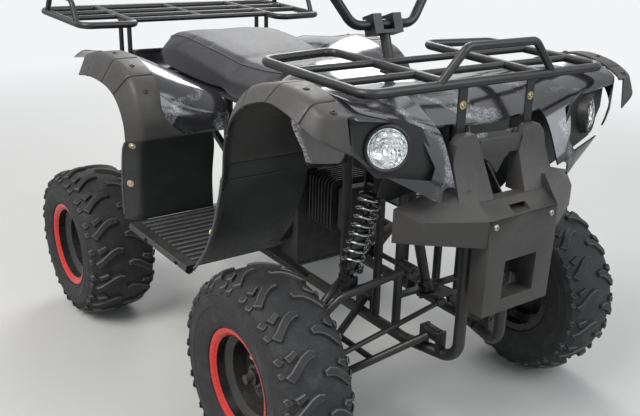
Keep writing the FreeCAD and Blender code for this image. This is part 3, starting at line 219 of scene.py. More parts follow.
class Finish:
    """A material in the making, with the shared variation already in it."""

    def __init__(self, name, scale=20.0):
        self.material = bpy.data.materials.new(name)
        self.material.use_nodes = True
        self.tree = self.material.node_tree
        self.shader = self.tree.nodes["Principled BSDF"]
        self.mottle = self.group("mottle", Scale=scale)
        self.broad = self.mottle.outputs["Broad"]
        self.fine = self.mottle.outputs["Fine"]
        materials[name] = self.material

    def node(self, kind, values=(), links=(), **settings):
        return add_node(self.tree, kind, values, links, **settings)

    def group(self, name, **values):
        node = self.tree.nodes.new("ShaderNodeGroup")
        node.node_tree = GROUPS[name]
        for key, value in values.items():
            node.inputs[key].default_value = value
        return node

    def mix(self, factor, low, high):
        return blend_colour(self.tree, factor, low, high)

    def ramp(self, source, low, high, out_low=0.0, out_high=1.0):
        node = self.node("ShaderNodeMapRange", {"From Min": low, "From Max": high, "To Min": out_low,
                                                "To Max": out_high}, {"Value": source})
        return node.outputs[0]

    def rough(self, low, high):
        """Roughness that follows the fine variation."""
        return self.ramp(self.fine, 0.3, 0.7, low, high)

    def tones(self, base, low, high):
        """A colour that wanders between two shares of a base colour."""
        return self.mix(self.ramp(self.broad, 0.3, 0.7), tinted(base, low), tinted(base, high))

    def place(self):
        return self.node("ShaderNodeTexCoord").outputs["Object"]

    def times(self, first, second):
        node = self.tree.nodes.new("ShaderNodeMath")
        node.operation = "MULTIPLY"
        for socket, value in zip(node.inputs, (first, second)):
            if isinstance(value, bpy.types.NodeSocket):
                self.tree.links.new(value, socket)
            else:
                socket.default_value = value
        return node.outputs[0]

    def set(self, **values):
        for key, value in values.items():
            socket = self.shader.inputs[key.replace("_", " ")]
            if isinstance(value, bpy.types.NodeSocket):
                self.tree.links.new(value, socket)
            else:
                socket.default_value = value

    def bump(self, height, distance, strength=0.6):
        node = self.node("ShaderNodeBump", {"Strength": strength, "Distance": distance}, {"Height": height})
        self.set(Normal=node.outputs["Normal"])

    def grain(self, scale, depth):
        self.bump(self.group("moulded_grain", Scale=scale).outputs["Height"], depth)

    def dusty(self, colour, amount, dust=(0.26, 0.24, 0.20)):
        mask = self.group("settled_dust", Amount=amount)
        return self.mix(mask.outputs["Mask"], colour, dust)


# name, dark, light, mottle scale, roughness from, to, metallic, grain scale, grain depth, dust
PLAIN_FINISHES = (
    ("powder_black", (0.008, 0.008, 0.009), (0.015, 0.015, 0.016), 18, 0.30, 0.46, 0.0, 420, 0.00025, 0.10),
    ("frame_black", (0.007, 0.007, 0.008), (0.014, 0.014, 0.015), 16, 0.38, 0.58, 0.0, 380, 0.0003, 0.28),
    ("rim_black", (0.012, 0.012, 0.013), (0.022, 0.022, 0.023), 12, 0.16, 0.34, 0.0, 260, 0.0001, 0.22),
    ("zinc", (0.42, 0.37, 0.24), (0.62, 0.56, 0.38), 60, 0.26, 0.44, 1.0, 900, 0.0001, 0.08),
    ("bare_steel", (0.36, 0.35, 0.33), (0.52, 0.51, 0.49), 50, 0.28, 0.48, 1.0, 600, 0.0001, 0.15),
    ("cast_black", (0.020, 0.020, 0.021), (0.040, 0.040, 0.041), 40, 0.48, 0.68, 0.2, 500, 0.0005, 0.30),
    ("cast_alloy", (0.34, 0.33, 0.28), (0.50, 0.49, 0.43), 45, 0.34, 0.52, 0.9, 520, 0.0004, 0.10),
    ("knuckle_iron", (0.050, 0.048, 0.046), (0.10, 0.095, 0.09), 40, 0.5, 0.7, 0.5, 450, 0.0005, 0.30),
    ("grip_rubber", (0.016, 0.016, 0.017), (0.028, 0.028, 0.030), 50, 0.6, 0.8, 0.0, 1100, 0.0003, 0.06),
    ("coil_black", (0.012, 0.012, 0.014), (0.022, 0.022, 0.024), 40, 0.14, 0.30, 0.0, 400, 0.0001, 0.12),
    # a bright metal copy of the black coil finish: a painted highlight for the front coils, which are black
    ("coil_painted_highlight", (0.30, 0.30, 0.31), (0.44, 0.44, 0.45), 70, 0.12, 0.26, 1.0, 700, 0.00005, 0.08),
    # this grey is for the platform treads and for painted highlights along the panels' outer edges
    ("tread_grey_and_edge_highlight", (0.060, 0.061, 0.064), (0.095, 0.096, 0.10), 30, 0.42, 0.60, 0.0, 800, 0.0002, 0.10),
    ("exhaust_black", (0.022, 0.021, 0.020), (0.050, 0.044, 0.038), 30, 0.55, 0.75, 0.3, 380, 0.0004, 0.22),
    ("shield_black", (0.012, 0.013, 0.013), (0.024, 0.026, 0.026), 10, 0.34, 0.50, 0.0, 800, 0.0002, 0.12),
    # the darkest black: lamp cases, and sheets of painted shade in the recesses round the lamps
    ("lamp_black_and_recess_shade", (0.006, 0.006, 0.007), (0.012, 0.012, 0.013), 20, 0.4, 0.6, 0.0, 900, 0.0002, 0.05),
)


def make_plain_finish(row):
    name, dark, light, scale, rough_low, rough_high, metallic, grain, depth, dust = row
    finish = Finish(name, scale)
    colour = finish.mix(finish.ramp(finish.broad, 0.35, 0.65), dark, light)
    finish.set(Base_Color=finish.dusty(colour, dust), Metallic=metallic,
               Roughness=finish.rough(rough_low, rough_high))
    finish.grain(grain, depth)


def make_panel_finish():
    """Matt moulded plastic, a little scuffed."""
    finish = Finish("panel_plastic", 9.0)
    base = tuple(colours().panel)
    colour = finish.tones(base, 0.78, 1.16)
    scratch = finish.node("ShaderNodeTexWave", {"Scale": 38.0, "Distortion": 34.0, "Detail": 4.0,
                                                "Detail Scale": 3.0},
                          {"Vector": finish.place()})
    thin = finish.ramp(scratch.outputs["Fac"], 0.972, 0.998)
    scuffs = finish.times(thin, finish.ramp(finish.fine, 0.5, 0.66))
    colour = finish.mix(scuffs, colour, tinted(base, 1.9))
    finish.set(Base_Color=finish.dusty(colour, 0.16),
               Roughness=finish.rough(0.44, 0.60))
    finish.grain(950.0, 0.00030)


def make_gloss_finish():
    """Glossy paint with soft pale streaks that run back over the body."""
    finish = Finish("gloss_paint", 7.0)
    place = finish.node("ShaderNodeTexCoord")
    turned = finish.node("ShaderNodeMapping", {"Rotation": (0.35, 0.2, 0.6), "Scale": (1.0, 1.7, 2.3)},
                         {"Vector": place.outputs["Object"]})
    bands = finish.node("ShaderNodeTexWave", {"Scale": 2.3, "Distortion": 7.5, "Detail": 2.5,
                                              "Detail Scale": 1.4, "Detail Roughness": 0.5},
                        {"Vector": turned.outputs["Vector"]})
    ridge = finish.ramp(bands.outputs["Fac"], 0.80, 0.97)
    specks = finish.node("ShaderNodeTexNoise", {"Scale": 120.0, "Detail": 4.0, "Roughness": 0.75},
                         {"Vector": turned.outputs["Vector"]})
    broken = finish.ramp(specks.outputs["Fac"], 0.40, 0.60)
    patch = finish.ramp(finish.broad, 0.46, 0.62)
    mask = finish.times(finish.times(ridge, broken), patch)
    base = tuple(colours().gloss)
    ground = finish.mix(finish.ramp(finish.broad, 0.35, 0.65), base, tinted(base, 1.8))
    colour = finish.mix(mask, ground, tuple(colours().streak))
    finish.set(Base_Color=finish.dusty(colour, 0.05), Roughness=finish.rough(0.10, 0.22),
               Coat_Weight=0.6, Coat_Roughness=0.11)
    finish.bump(finish.broad, 0.0004, 0.15)


def make_rubber_finish():
    """Tyre rubber: grey with dust, with a painted highlight on the top edges of the lugs."""
    finish = Finish("tyre_rubber", 30.0)
    base = tuple(colours().rubber)
    colour = finish.tones(base, 0.7, 1.35)
    # painted highlight: faces marked lug_edge, the lugs' top bevels, are painted pale
    edge = finish.node("ShaderNodeAttribute", attribute_name="lug_edge")
    pale_edge_highlight = finish.times(edge.outputs["Fac"], finish.ramp(finish.fine, 0.25, 0.6, 0.45, 1.0))
    colour = finish.mix(pale_edge_highlight, colour, (0.125, 0.123, 0.118))
    soil = finish.times(finish.ramp(finish.broad, 0.55, 0.75), 0.35)
    colour = finish.mix(soil, colour, (0.085, 0.078, 0.065))
    finish.set(Base_Color=colour, Roughness=finish.rough(0.62, 0.86))
    finish.grain(520.0, 0.0006)


def make_lip_finish():
    """Red paint of the rim's lip."""
    finish = Finish("lip_red", 25.0)
    base = tuple(colours().lip)
    colour = finish.tones(base, 0.8, 1.1)
    finish.set(Base_Color=finish.dusty(colour, 0.12), Roughness=finish.rough(0.2, 0.38))
    finish.grain(300.0, 0.0001)


def make_vinyl_finish():
    """Seat vinyl with a leather grain and a slight bloom."""
    finish = Finish("seat_vinyl", 12.0)
    base = tuple(colours().seat)
    colour = finish.tones(base, 0.82, 1.12)
    cells = finish.node("ShaderNodeTexVoronoi", {"Scale": 620.0}, {"Vector": finish.place()},
                        feature="DISTANCE_TO_EDGE")
    creases = finish.ramp(cells.outputs["Distance"], 0.0, 0.12)
    colour = finish.mix(creases, tinted(base, 0.55), colour)
    finish.set(Base_Color=finish.dusty(colour, 0.06), Roughness=finish.rough(0.42, 0.56),
               Sheen_Weight=0.12, Sheen_Roughness=0.5)
    finish.bump(creases, 0.00035, 0.5)


def make_pad_finish():
    """Woven cover of the bar pad."""
    finish = Finish("pad_cloth", 30.0)
    place = finish.node("ShaderNodeTexCoord")
    weave = [finish.node("ShaderNodeTexWave", {"Scale": 160.0, "Distortion": 0.4},
                         {"Vector": place.outputs["Object"]}, bands_direction=axis) for axis in ("Y", "Z")]
    cloth = finish.times(weave[0].outputs["Fac"], weave[1].outputs["Fac"])
    colour = finish.mix(finish.broad, (0.016, 0.016, 0.018), (0.036, 0.036, 0.040))
    finish.set(Base_Color=finish.mix(cloth, colour, (0.050, 0.050, 0.055)),
               Roughness=finish.rough(0.7, 0.85), Sheen_Weight=0.25)
    finish.bump(cloth, 0.0005)


def make_lens_finishes():
    """Clear lens, its bright reflector, and the red tail lens."""
    clear = Finish("lens_clear", 80.0)
    clear.set(Base_Color=clear.mix(clear.broad, (0.93, 0.95, 0.95), (0.98, 0.99, 0.99)), IOR=1.46,
              Transmission_Weight=1.0, Roughness=clear.rough(0.015, 0.05))
    cells = clear.node("ShaderNodeTexVoronoi", {"Scale": 90.0}, {"Vector": clear.place()})
    clear.bump(cells.outputs["Distance"], 0.0012, 0.5)
    bright = Finish("reflector", 60.0)
    bright.set(Base_Color=bright.mix(bright.broad, (0.82, 0.83, 0.84), (0.94, 0.95, 0.95)), Metallic=1.0,
               Roughness=bright.rough(0.06, 0.16))
    facets = bright.node("ShaderNodeTexVoronoi", {"Scale": 75.0}, {"Vector": bright.place()})
    bright.bump(facets.outputs["Distance"], 0.004, 0.8)
    red = Finish("lens_red", 60.0)
    ribs = red.node("ShaderNodeTexWave", {"Scale": 90.0}, {"Vector": red.place()}, bands_direction="Z")
    red.set(Base_Color=red.mix(red.broad, (0.42, 0.012, 0.012), (0.62, 0.03, 0.02)), Coat_Weight=0.6,
            Roughness=red.rough(0.08, 0.2))
    red.bump(ribs.outputs["Fac"], 0.0008)


NODE_FINISHES = {
    "rear_axle": "bare_steel", "steering_stem": "frame_black", "handlebar": "powder_black",
    "levers": "powder_black", "lower_arms": "powder_black", "upper_arms": "powder_black",
    "knuckle_left": "knuckle_iron", "knuckle_right": "knuckle_iron", "tie_rod_left": "powder_black",
    "tie_rod_right": "powder_black", "frame": "frame_black", "front_tower": "frame_black",
    "foot_platforms": "shield_black", "front_rack": "powder_black", "rear_rack": "powder_black",
    "engine": "cast_black", "cylinder": "cast_black", "starter_motor": "cast_alloy",
    "exhaust": "exhaust_black", "swing_arm": "frame_black", "chain": "bare_steel", "bumper": "panel_plastic",
    "bonnet": "gloss_paint", "tank_cover": "gloss_paint", "rear_fender": "gloss_paint",
    "seat": "seat_vinyl", "bar_pad": "pad_cloth", "grips": "grip_rubber", "headlamps": "lens_clear",
    "tail_lamp": "lens_red", "front_shocks": "coil_black", "rear_shock": "coil_black",
    "leg_shields": "shield_black", "mudguards": "shield_black", "rear_flares": "panel_plastic",
    "flare_front_left": "panel_plastic", "flare_front_right": "panel_plastic",
}


# Mesh tools


def mesh_from(name, points, faces, marks=None):
    """A mesh in metres from points in millimetres."""
    mesh = bpy.data.meshes.new(name)
    mesh.from_pydata([Vector(point) * MM for point in points], [], faces)
    if marks:
        for index, number in enumerate(marks):
            mesh.polygons[index].material_index = number
    mesh.update()
    return mesh


def tidy_mesh(mesh, merge=0.00001):
    """Merge doubles and turn all faces outwards."""
    shape = bmesh.new()
    shape.from_mesh(mesh)
    bmesh.ops.remove_doubles(shape, verts=shape.verts, dist=merge)
    bmesh.ops.recalc_face_normals(shape, faces=shape.faces)
    shape.to_mesh(mesh)
    shape.free()
    return mesh


def extruded(near, far):
    """A closed block between an outline and its shifted copy."""
    count = len(near)
    faces = [tuple(range(count))[::-1], tuple(range(count, 2 * count))]
    faces += [(i, (i + 1) % count, (i + 1) % count + count, i + count) for i in range(count)]
    return tidy_mesh(mesh_from("block", list(near) + list(far), faces))


def lofted(rows):
    """A closed shape over rings of points, with a cap at each end."""
    count = len(rows[0])
    last = (len(rows) - 1) * count
    faces = []
    for here in range(0, last, count):
        for index in range(count):
            after = (index + 1) % count
            faces.append((here + index, here + after, here + count + after, here + count + index))
    faces += [tuple(range(count)), tuple(range(last, last + count))]
    return tidy_mesh(mesh_from("loft", [point for row in rows for point in row], faces))


def baked(source, modifiers=()):
    """The mesh of an object or mesh after some modifiers, as (kind, settings)."""
    made = isinstance(source, bpy.types.Mesh)
    item = bpy.data.objects.new("work", source) if made else source
    if made:
        scene.collection.objects.link(item)
    for kind, settings in modifiers:
        modifier = item.modifiers.new(kind.lower(), kind)
        for key, value in settings.items():
            setattr(modifier, key, value)
    bpy.context.view_layer.update()
    graph = bpy.context.evaluated_depsgraph_get()
    mesh = bpy.data.meshes.new_from_object(item.evaluated_get(graph), preserve_all_data_layers=True,
                                           depsgraph=graph)
    if made:
        bpy.data.objects.remove(item)
    return mesh


def smooth(mesh, angle=35):
    mesh.shade_smooth()
    mesh.set_sharp_from_angle(angle=math.radians(angle))
    return mesh


def add_piece(name, mesh, body, finishes, replaces=()):
    """Put a finished mesh into the scene, riding on a body of the frame."""
    mesh.name = name
    numbers = [min(face.material_index, len(finishes) - 1) for face in mesh.polygons]
    mesh.materials.clear()
    for finish in finishes:
        mesh.materials.append(materials[finish])
    mesh.polygons.foreach_set("material_index", numbers)
    piece = bpy.data.objects.new(name, mesh)
    scene.collection.objects.link(piece)
    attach(piece, body)
    if replaces:
        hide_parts(*replaces)
    return piece


def joined(meshes):
    """One mesh of several, with their material numbers kept."""
    shape = bmesh.new()
    for mesh in meshes:
        shape.from_mesh(mesh)
    whole = bpy.data.meshes.new("joined")
    shape.to_mesh(whole)
    shape.free()
    return whole


def mirror_copy(mesh):
    """The mirror image of a mesh, on the other side of the bike."""
    copy = mesh.copy()
    copy.transform(Matrix.Scale(-1, 4, Vector((0, 1, 0))))
    copy.flip_normals()
    return copy


def paired(mesh):
    """A mesh of the left side together with its mirror image."""
    return joined([mesh, mirror_copy(mesh)])


def on_side(mesh, sign):
    return mesh if sign > 0 else mirror_copy(mesh)


def spin(profile, centre, axis=Vector((0, 1, 0)), steps=64, marks=None):
    """A closed (radius, along) outline turned about an axis through a point."""
    turn = Vector((0, 1, 0)).rotation_difference(axis)
    points = []
    for step in range(steps):
        angle = TURN * step / steps
        for radius, along in profile:
            spot = Vector((radius * math.sin(angle), along, radius * math.cos(angle)))
            points.append(centre + turn @ spot)
    count = len(profile)
    faces = []
    numbers = []
    for step in range(steps):
        for index in range(count):
            after = (index + 1) % count
            here = step * count
            there = (step + 1) % steps * count
            faces.append((here + index, here + after, there + after, there + index))
            numbers.append(marks[index] if marks else 0)
    mesh = mesh_from("spun", points, faces, numbers)
    return drop_flat(tidy_mesh(mesh))


def drop_flat(mesh):
    """Remove faces without an area, such as those at a pole."""
    shape = bmesh.new()
    shape.from_mesh(mesh)
    bmesh.ops.dissolve_degenerate(shape, dist=0.000005, edges=shape.edges)
    bmesh.ops.recalc_face_normals(shape, faces=shape.faces)
    shape.to_mesh(mesh)
    shape.free()
    return mesh


def through(points, place):
    """The point at a fractional station number on a smooth line through points."""
    last = len(points) - 1
    start = min(int(place), last - 1)
    share = place - start
    p1 = Vector(points[start])
    p2 = Vector(points[start + 1])
    p0 = Vector(points[start - 1]) if start > 0 else p1 * 2 - p2
    p3 = Vector(points[start + 2]) if start + 2 <= last else p2 * 2 - p1
    span = (p2 - p1).length
    slope1 = (p2 - p0) * (span / max((p2 - p1).length + (p1 - p0).length, 0.001))
    slope2 = (p3 - p1) * (span / max((p3 - p2).length + (p2 - p1).length, 0.001))
    s2 = share * share
    s3 = s2 * share
    return (p1 * (2 * s3 - 3 * s2 + 1) + slope1 * (s3 - 2 * s2 + share)
            + p2 * (3 * s2 - 2 * s3) + slope2 * (s3 - s2))


def rounded(line, radii, steps=4):
    """A line whose inner corners are rounded, each by its own setback."""
    out = [Vector(line[0])]
    for before, corner, after, radius in zip(line, line[1:], line[2:], radii):
        corner = Vector(corner)
        back = Vector(before) - corner
        onward = Vector(after) - corner
        reach = min(radius, back.length * 0.48, onward.length * 0.48)
        first = corner + back.normalized() * reach
        final = corner + onward.normalized() * reach
        for step in range(steps + 1):
            share = step / steps
            out.append(first * (1 - share) ** 2 + corner * (2 * share * (1 - share)) + final * share ** 2)
    out.append(Vector(line[-1]))
    return out


def skin(rows, thick):
    """A wall of even thickness from rows of points in millimetres, thickened inwards."""
    count = len(rows[0])
    points = [point for row in rows for point in row]
    faces = [(r * count + c, r * count + c + 1, (r + 1) * count + c + 1, (r + 1) * count + c)
             for r in range(len(rows) - 1) for c in range(count - 1)]
    mesh = mesh_from("skin", points, faces)
    shape = bmesh.new()
    shape.from_mesh(mesh)
    bmesh.ops.recalc_face_normals(shape, faces=shape.faces)
    outward = sum(face.normal.z + face.normal.x * 0.3 for face in shape.faces)
    if outward < 0:
        bmesh.ops.reverse_faces(shape, faces=shape.faces)
    shape.to_mesh(mesh)
    shape.free()
    return baked(mesh, [
        ("SOLIDIFY", {"thickness": thick, "offset": -1.0, "use_even_offset": True,
                      "use_quality_normals": True}),
        ("BEVEL", {"width": thick * 0.22, "segments": 2, "limit_method": "ANGLE",
                   "angle_limit": math.radians(50)})])


def panel_rows(stations, seams, radii, lip=5.0, density=6):
    """Rows across a banded panel, with a groove at each seam (a station number)."""
    lines = [[], [], []]
    for crease_x, crease_z, edge_x, edge_z, inner_y, crease_y, edge_y in stations:
        lines[0].append((crease_x, inner_y, crease_z))
        lines[1].append((crease_x, crease_y, crease_z))
        lines[2].append((edge_x, edge_y, edge_z))
    last = len(stations) - 1
    places = [(last * step / (last * density), 0.0) for step in range(last * density + 1)]
    for seam in seams:
        places = [(place, depth) for place, depth in places if abs(place - seam) > 0.075]
        places += [(seam - 0.05, 0.0), (seam - 0.028, 2.4), (seam + 0.028, 2.4), (seam + 0.05, 0.0)]
    rows = []
    for place, depth in sorted(places):
        place = min(max(place, 0.0), float(last))
        inner, crease, edge = (through(line, place) for line in lines)
        down = (edge - crease).normalized()
        across = (inner - crease).normalized()
        turned_in = edge + across * lip + down * 1.5
        onward = (through(lines[1], min(place + 0.05, last)) - through(lines[1], max(place - 0.05, 0)))
        inward = onward.normalized().cross(across)
        if inward.z > 0 or (abs(inward.z) < 0.2 and inward.x > 0):
            inward = -inward
        sunk = [point + inward * depth + (across * depth if index else Vector())
                for index, point in enumerate((inner, crease, edge, turned_in))]
        middle = sunk[0].lerp(sunk[1], 0.5)
        rows.append(rounded([sunk[0], middle, sunk[1], sunk[2], sunk[3]], (1.0,) + radii))
    return rows


# Geometry nodes


def new_tree(name, inputs):
    """A geometry tree with named inputs, as (name, kind, default)."""
    tree = bpy.data.node_groups.new(name, "GeometryNodeTree")
    tree.interface.new_socket("Geometry", in_out="INPUT", socket_type="NodeSocketGeometry")
    for label, kind, default in inputs:
        socket = tree.interface.new_socket(label, in_out="INPUT", socket_type="NodeSocket" + kind)
        if default is not None:
            socket.default_value = default
    tree.interface.new_socket("Geometry", in_out="OUTPUT", socket_type="NodeSocketGeometry")
    return tree, tree.nodes.new("NodeGroupInput"), tree.nodes.new("NodeGroupOutput")


def make_ring_tree():
    """Copies of a shape, spaced evenly round an axis along Y."""
    tree, entry, leave = new_tree("copies_round_axis", (
        ("Shape", "Object", None), ("Count", "Int", 8), ("Start", "Float", 0.0),
        ("Centre", "Vector", (0.0, 0.0, 0.0)), ("Finish", "Material", None)))
    points = add_node(tree, "GeometryNodePoints", links={"Count": entry.outputs["Count"]})
    index = add_node(tree, "GeometryNodeInputIndex")
    share = add_node(tree, "ShaderNodeMath", links={0: index.outputs[0], 1: entry.outputs["Count"]},
                     operation="DIVIDE")
    angle = add_node(tree, "ShaderNodeMath", {1: TURN}, {0: share.outputs[0], 2: entry.outputs["Start"]},
                     operation="MULTIPLY_ADD")
    turn = add_node(tree, "ShaderNodeCombineXYZ", links={"Y": angle.outputs[0]})
    shape = add_node(tree, "GeometryNodeObjectInfo", links={"Object": entry.outputs["Shape"]})
    copies = add_node(tree, "GeometryNodeInstanceOnPoints", links={
        "Points": points.outputs[0], "Instance": shape.outputs["Geometry"], "Rotation": turn.outputs[0]})
    moved = add_node(tree, "GeometryNodeTransform", links={
        "Geometry": copies.outputs[0], "Translation": entry.outputs["Centre"]})
    finish_tree(tree, moved.outputs[0], entry, leave)
    return tree


def finish_tree(tree, geometry, entry, leave):
    real = add_node(tree, "GeometryNodeRealizeInstances", links={"Geometry": geometry})
    painted = add_node(tree, "GeometryNodeSetMaterial", links={
        "Geometry": real.outputs[0], "Material": entry.outputs["Finish"]})
    tree.links.new(painted.outputs[0], leave.inputs[0])


def make_point_tree():
    """A copy of a shape at each point of a mesh, turned to the point's own direction."""
    tree, entry, leave = new_tree("copies_at_points", (
        ("Shape", "Object", None), ("Finish", "Material", None)))
    facing = add_node(tree, "GeometryNodeInputNamedAttribute", {"Name": "facing"}, data_type="FLOAT_VECTOR")
    turn = add_node(tree, "FunctionNodeAlignRotationToVector", links={"Vector": facing.outputs["Attribute"]},
                    axis="Z")
    shape = add_node(tree, "GeometryNodeObjectInfo", links={"Object": entry.outputs["Shape"]})
    copies = add_node(tree, "GeometryNodeInstanceOnPoints", links={
        "Points": entry.outputs["Geometry"], "Instance": shape.outputs["Geometry"],
        "Rotation": turn.outputs[0]})
    finish_tree(tree, copies.outputs[0], entry, leave)
    return tree


def make_coil_tree():
    """A spring: a wire wound upwards, with its foot at the origin."""
    tree, entry, leave = new_tree("wound_spring", (
        ("Radius", "Float", 0.02), ("Height", "Float", 0.1), ("Turns", "Float", 8.0),
        ("Wire", "Float", 0.004), ("Finish", "Material", None)))
    spiral = add_node(tree, "GeometryNodeCurveSpiral", {"Resolution": 20}, {
        "Rotations": entry.outputs["Turns"], "Start Radius": entry.outputs["Radius"],
        "End Radius": entry.outputs["Radius"], "Height": entry.outputs["Height"]})
    ring = add_node(tree, "GeometryNodeCurvePrimitiveCircle", {"Resolution": 10},
                    {"Radius": entry.outputs["Wire"]})
    swept = add_node(tree, "GeometryNodeCurveToMesh", {"Fill Caps": True}, {
        "Curve": spiral.outputs[0], "Profile Curve": ring.outputs[0]})
    finish_tree(tree, swept.outputs[0], entry, leave)
    return tree


def make_path_tree():
    """Copies of a shape along the edges of a path, evenly spaced and turned along it."""
    tree, entry, leave = new_tree("copies_on_path", (
        ("Shape", "Object", None), ("Count", "Int", 40), ("Finish", "Material", None)))
    curve = add_node(tree, "GeometryNodeMeshToCurve", links={"Mesh": entry.outputs["Geometry"]})
    points = add_node(tree, "GeometryNodeCurveToPoints", links={
        "Curve": curve.outputs[0], "Count": entry.outputs["Count"]}, mode="COUNT")
    turn = add_node(tree, "FunctionNodeAlignRotationToVector", links={"Vector": points.outputs["Tangent"]},
                    axis="X")
    shape = add_node(tree, "GeometryNodeObjectInfo", links={"Object": entry.outputs["Shape"]})
    copies = add_node(tree, "GeometryNodeInstanceOnPoints", links={
        "Points": points.outputs[0], "Instance": shape.outputs["Geometry"], "Rotation": turn.outputs[0]})
    finish_tree(tree, copies.outputs[0], entry, leave)
    return tree


TREES = {}


def grown(tree_name, values, mesh=None):
    """The plain mesh that a geometry tree makes from its named values."""
    tree = TREES[tree_name]
    holder = bpy.data.objects.new("holder", mesh or bpy.data.meshes.new("empty"))
    scene.collection.objects.link(holder)
    modifier = holder.modifiers.new("nodes", "NODES")
    modifier.node_group = tree
    names = {item.name: item.identifier for item in tree.interface.items_tree if item.in_out == "INPUT"}
    for key, value in values.items():
        modifier[names[key]] = value
    bpy.context.view_layer.update()
    result = baked(holder)
    bpy.data.objects.remove(holder)
    return result


def placed(tree_name, mesh, finish, values, base=None):
    """Copies of a mesh that a geometry tree places, painted with a finish."""
    shape = bpy.data.objects.new("shape", mesh)
    scene.collection.objects.link(shape)
    result = grown(tree_name, {"Shape": shape, "Finish": materials[finish], **values}, base)
    bpy.data.objects.remove(shape)
    return result


def ring_of(mesh, count, start, centre, finish):
    return placed("copies_round_axis", mesh, finish, {
        "Count": count, "Start": start, "Centre": tuple(Vector(centre) * MM)})


def copies_at(mesh, spots, finish):
    """Copies of a shape at (place, direction) spots, in millimetres."""
    points = bpy.data.meshes.new("spots")
    points.from_pydata([Vector(place) * MM for place, _ in spots], [], [])
    facing = points.attributes.new("facing", "FLOAT_VECTOR", "POINT")
    for index, (_, direction) in enumerate(spots):
        facing.data[index].vector = Vector(direction).normalized()
    return placed("copies_at_points", mesh, finish, {}, points)


def screw_mesh(radius=5.5, high=3.5, flange=8.0):
    """A flanged bolt head with a round socket, standing along Z."""
    profile = [(0.0, high - 2.2), (radius * 0.45, high - 2.2), (radius * 0.5, high), (radius * 0.85, high),
               (radius, high * 0.7), (radius, 1.2), (flange, 0.9), (flange + 0.4, -1.0), (0.0, -1.0)]
    return smooth(spin(profile, Vector(), Vector((0, 0, 1)), 18), 40)


# Wheels

# disc is the wheel disc's place along the axle, and the hub reaches out and back from it
FRONT_WHEEL = {"end": "front", "radius": 231.0, "half": 82.5, "rim_half": 70.0, "disc": 12.0,
               "bore": 11.0, "hub_out": 16.0, "hub_back": 44.0}
REAR_WHEEL = {"end": "rear", "radius": 210.0, "half": 95.0, "rim_half": 84.0, "disc": -10.0,
              "bore": 21.5, "hub_out": 1.0, "hub_back": 4.0}
RIM_RADIUS = 116.0
BEAD_RADIUS = 102.0


def crown(wheel, along, lug):
    """Radius of the carcass at a distance from the tyre's middle."""
    tread = wheel["radius"] - lug
    flat = wheel["half"] - 42
    share = max(0.0, abs(along) - flat * 0.3) / (wheel["half"] - flat * 0.3)
    return tread * (1 - 0.12 * share ** 2.4)


def bar_lug(wheel, path, widths, high, lug, sign, start, points, faces, edges):
    """Add a bar on the tread that follows a (along, arc) path, with bevelled top edges."""
    tread = wheel["radius"] - lug
    rows = []
    for index, (along, arc) in enumerate(path):
        before = path[max(index - 1, 0)]
        after = path[min(index + 1, len(path) - 1)]
        run = Vector((after[0] - before[0], after[1] - before[1])).normalized()
        square = Vector((-run.y, run.x))
        end_taper = 2.0 if index in (0, len(path) - 1) else 0.0
        row = []
        for lift, spread in ((-3.0, 2.2), (high * 0.72, 0.4), (high - 0.2, -1.6)):
            half = widths[index] / 2 + spread
            for side in (-1, 1):
                inward = 1 if index == 0 else -1
                share = 0.6 if lift < high - 1 else 1.2
                spot = Vector((along, arc)) + square * side * half
                spot += run * (end_taper * (lift > 0) * inward * share)
                angle = start + spot.y / tread
                radius = crown(wheel, spot.x, lug) + lift
                row.append((radius * math.sin(angle), sign * spot.x, radius * math.cos(angle)))
        rows.append(row)
    base = len(points)
    for row in rows:
        points.extend(row)
    # order of a row: base left, base right, shoulder left, shoulder right, top left, top right
    loop = (0, 2, 4, 5, 3, 1)
    for index in range(len(rows) - 1):
        here = base + index * 6
        there = here + 6
        for a, b in zip(loop, loop[1:]):
            faces.append((here + a, here + b, there + b, there + a))
            edges.append(1.0 if {a, b} in ({2, 4}, {5, 3}) else 0.0)
    for here in (base, base + (len(rows) - 1) * 6):
        faces.append((here, here + 2, here + 3, here + 1))
        edges.append(0.0)
        faces.append((here + 2, here + 4, here + 5, here + 3))
        edges.append(1.0)


def lug_pitch(wheel, lug, pitch):
    """The lugs of one pitch of the tread, on both halves, at the top of a wheel at the origin."""
    half = wheel["half"]
    points = []
    faces = []
    edges = []
    # path, widths along it, and height as a share of a lug's: the main bar, a short one, two knobs
    bars = (
        ([(5, 2), (half * 0.2, 0), (half * 0.36, 5), (half * 0.52, 15), (half * 0.66, 27),
          (half * 0.79, 36)], (10, 15, 15, 14, 14, 17), 1.0),
        ([(half * 0.50, -13), (half * 0.62, -7), (half * 0.74, -2)], (9, 11, 13), 0.92),
        ([(half * 0.83, -8), (half * 0.90, -4), (half * 0.955, -2)], (13, 15, 13), 0.7),
        ([(half * 0.86, 22), (half * 0.92, 24), (half * 0.965, 25)], (11, 13, 11), 0.6))
    for sign, start in ((1, 0.0), (-1, pitch / 2)):
        for path, widths, share in bars:
            bar_lug(wheel, path, widths, lug * share, lug, sign, start, points, faces, edges)
    mesh = mesh_from("lugs", points, faces)
    # lug_edge marks the lugs' top bevels, where the rubber paints a highlight
    mark = mesh.attributes.new("lug_edge", "FLOAT", "FACE")
    for index, value in enumerate(edges):
        mark.data[index].value = value
    shape = bmesh.new()
    shape.from_mesh(mesh)
    bmesh.ops.recalc_face_normals(shape, faces=shape.faces)
    shape.to_mesh(mesh)
    shape.free()
    return mesh


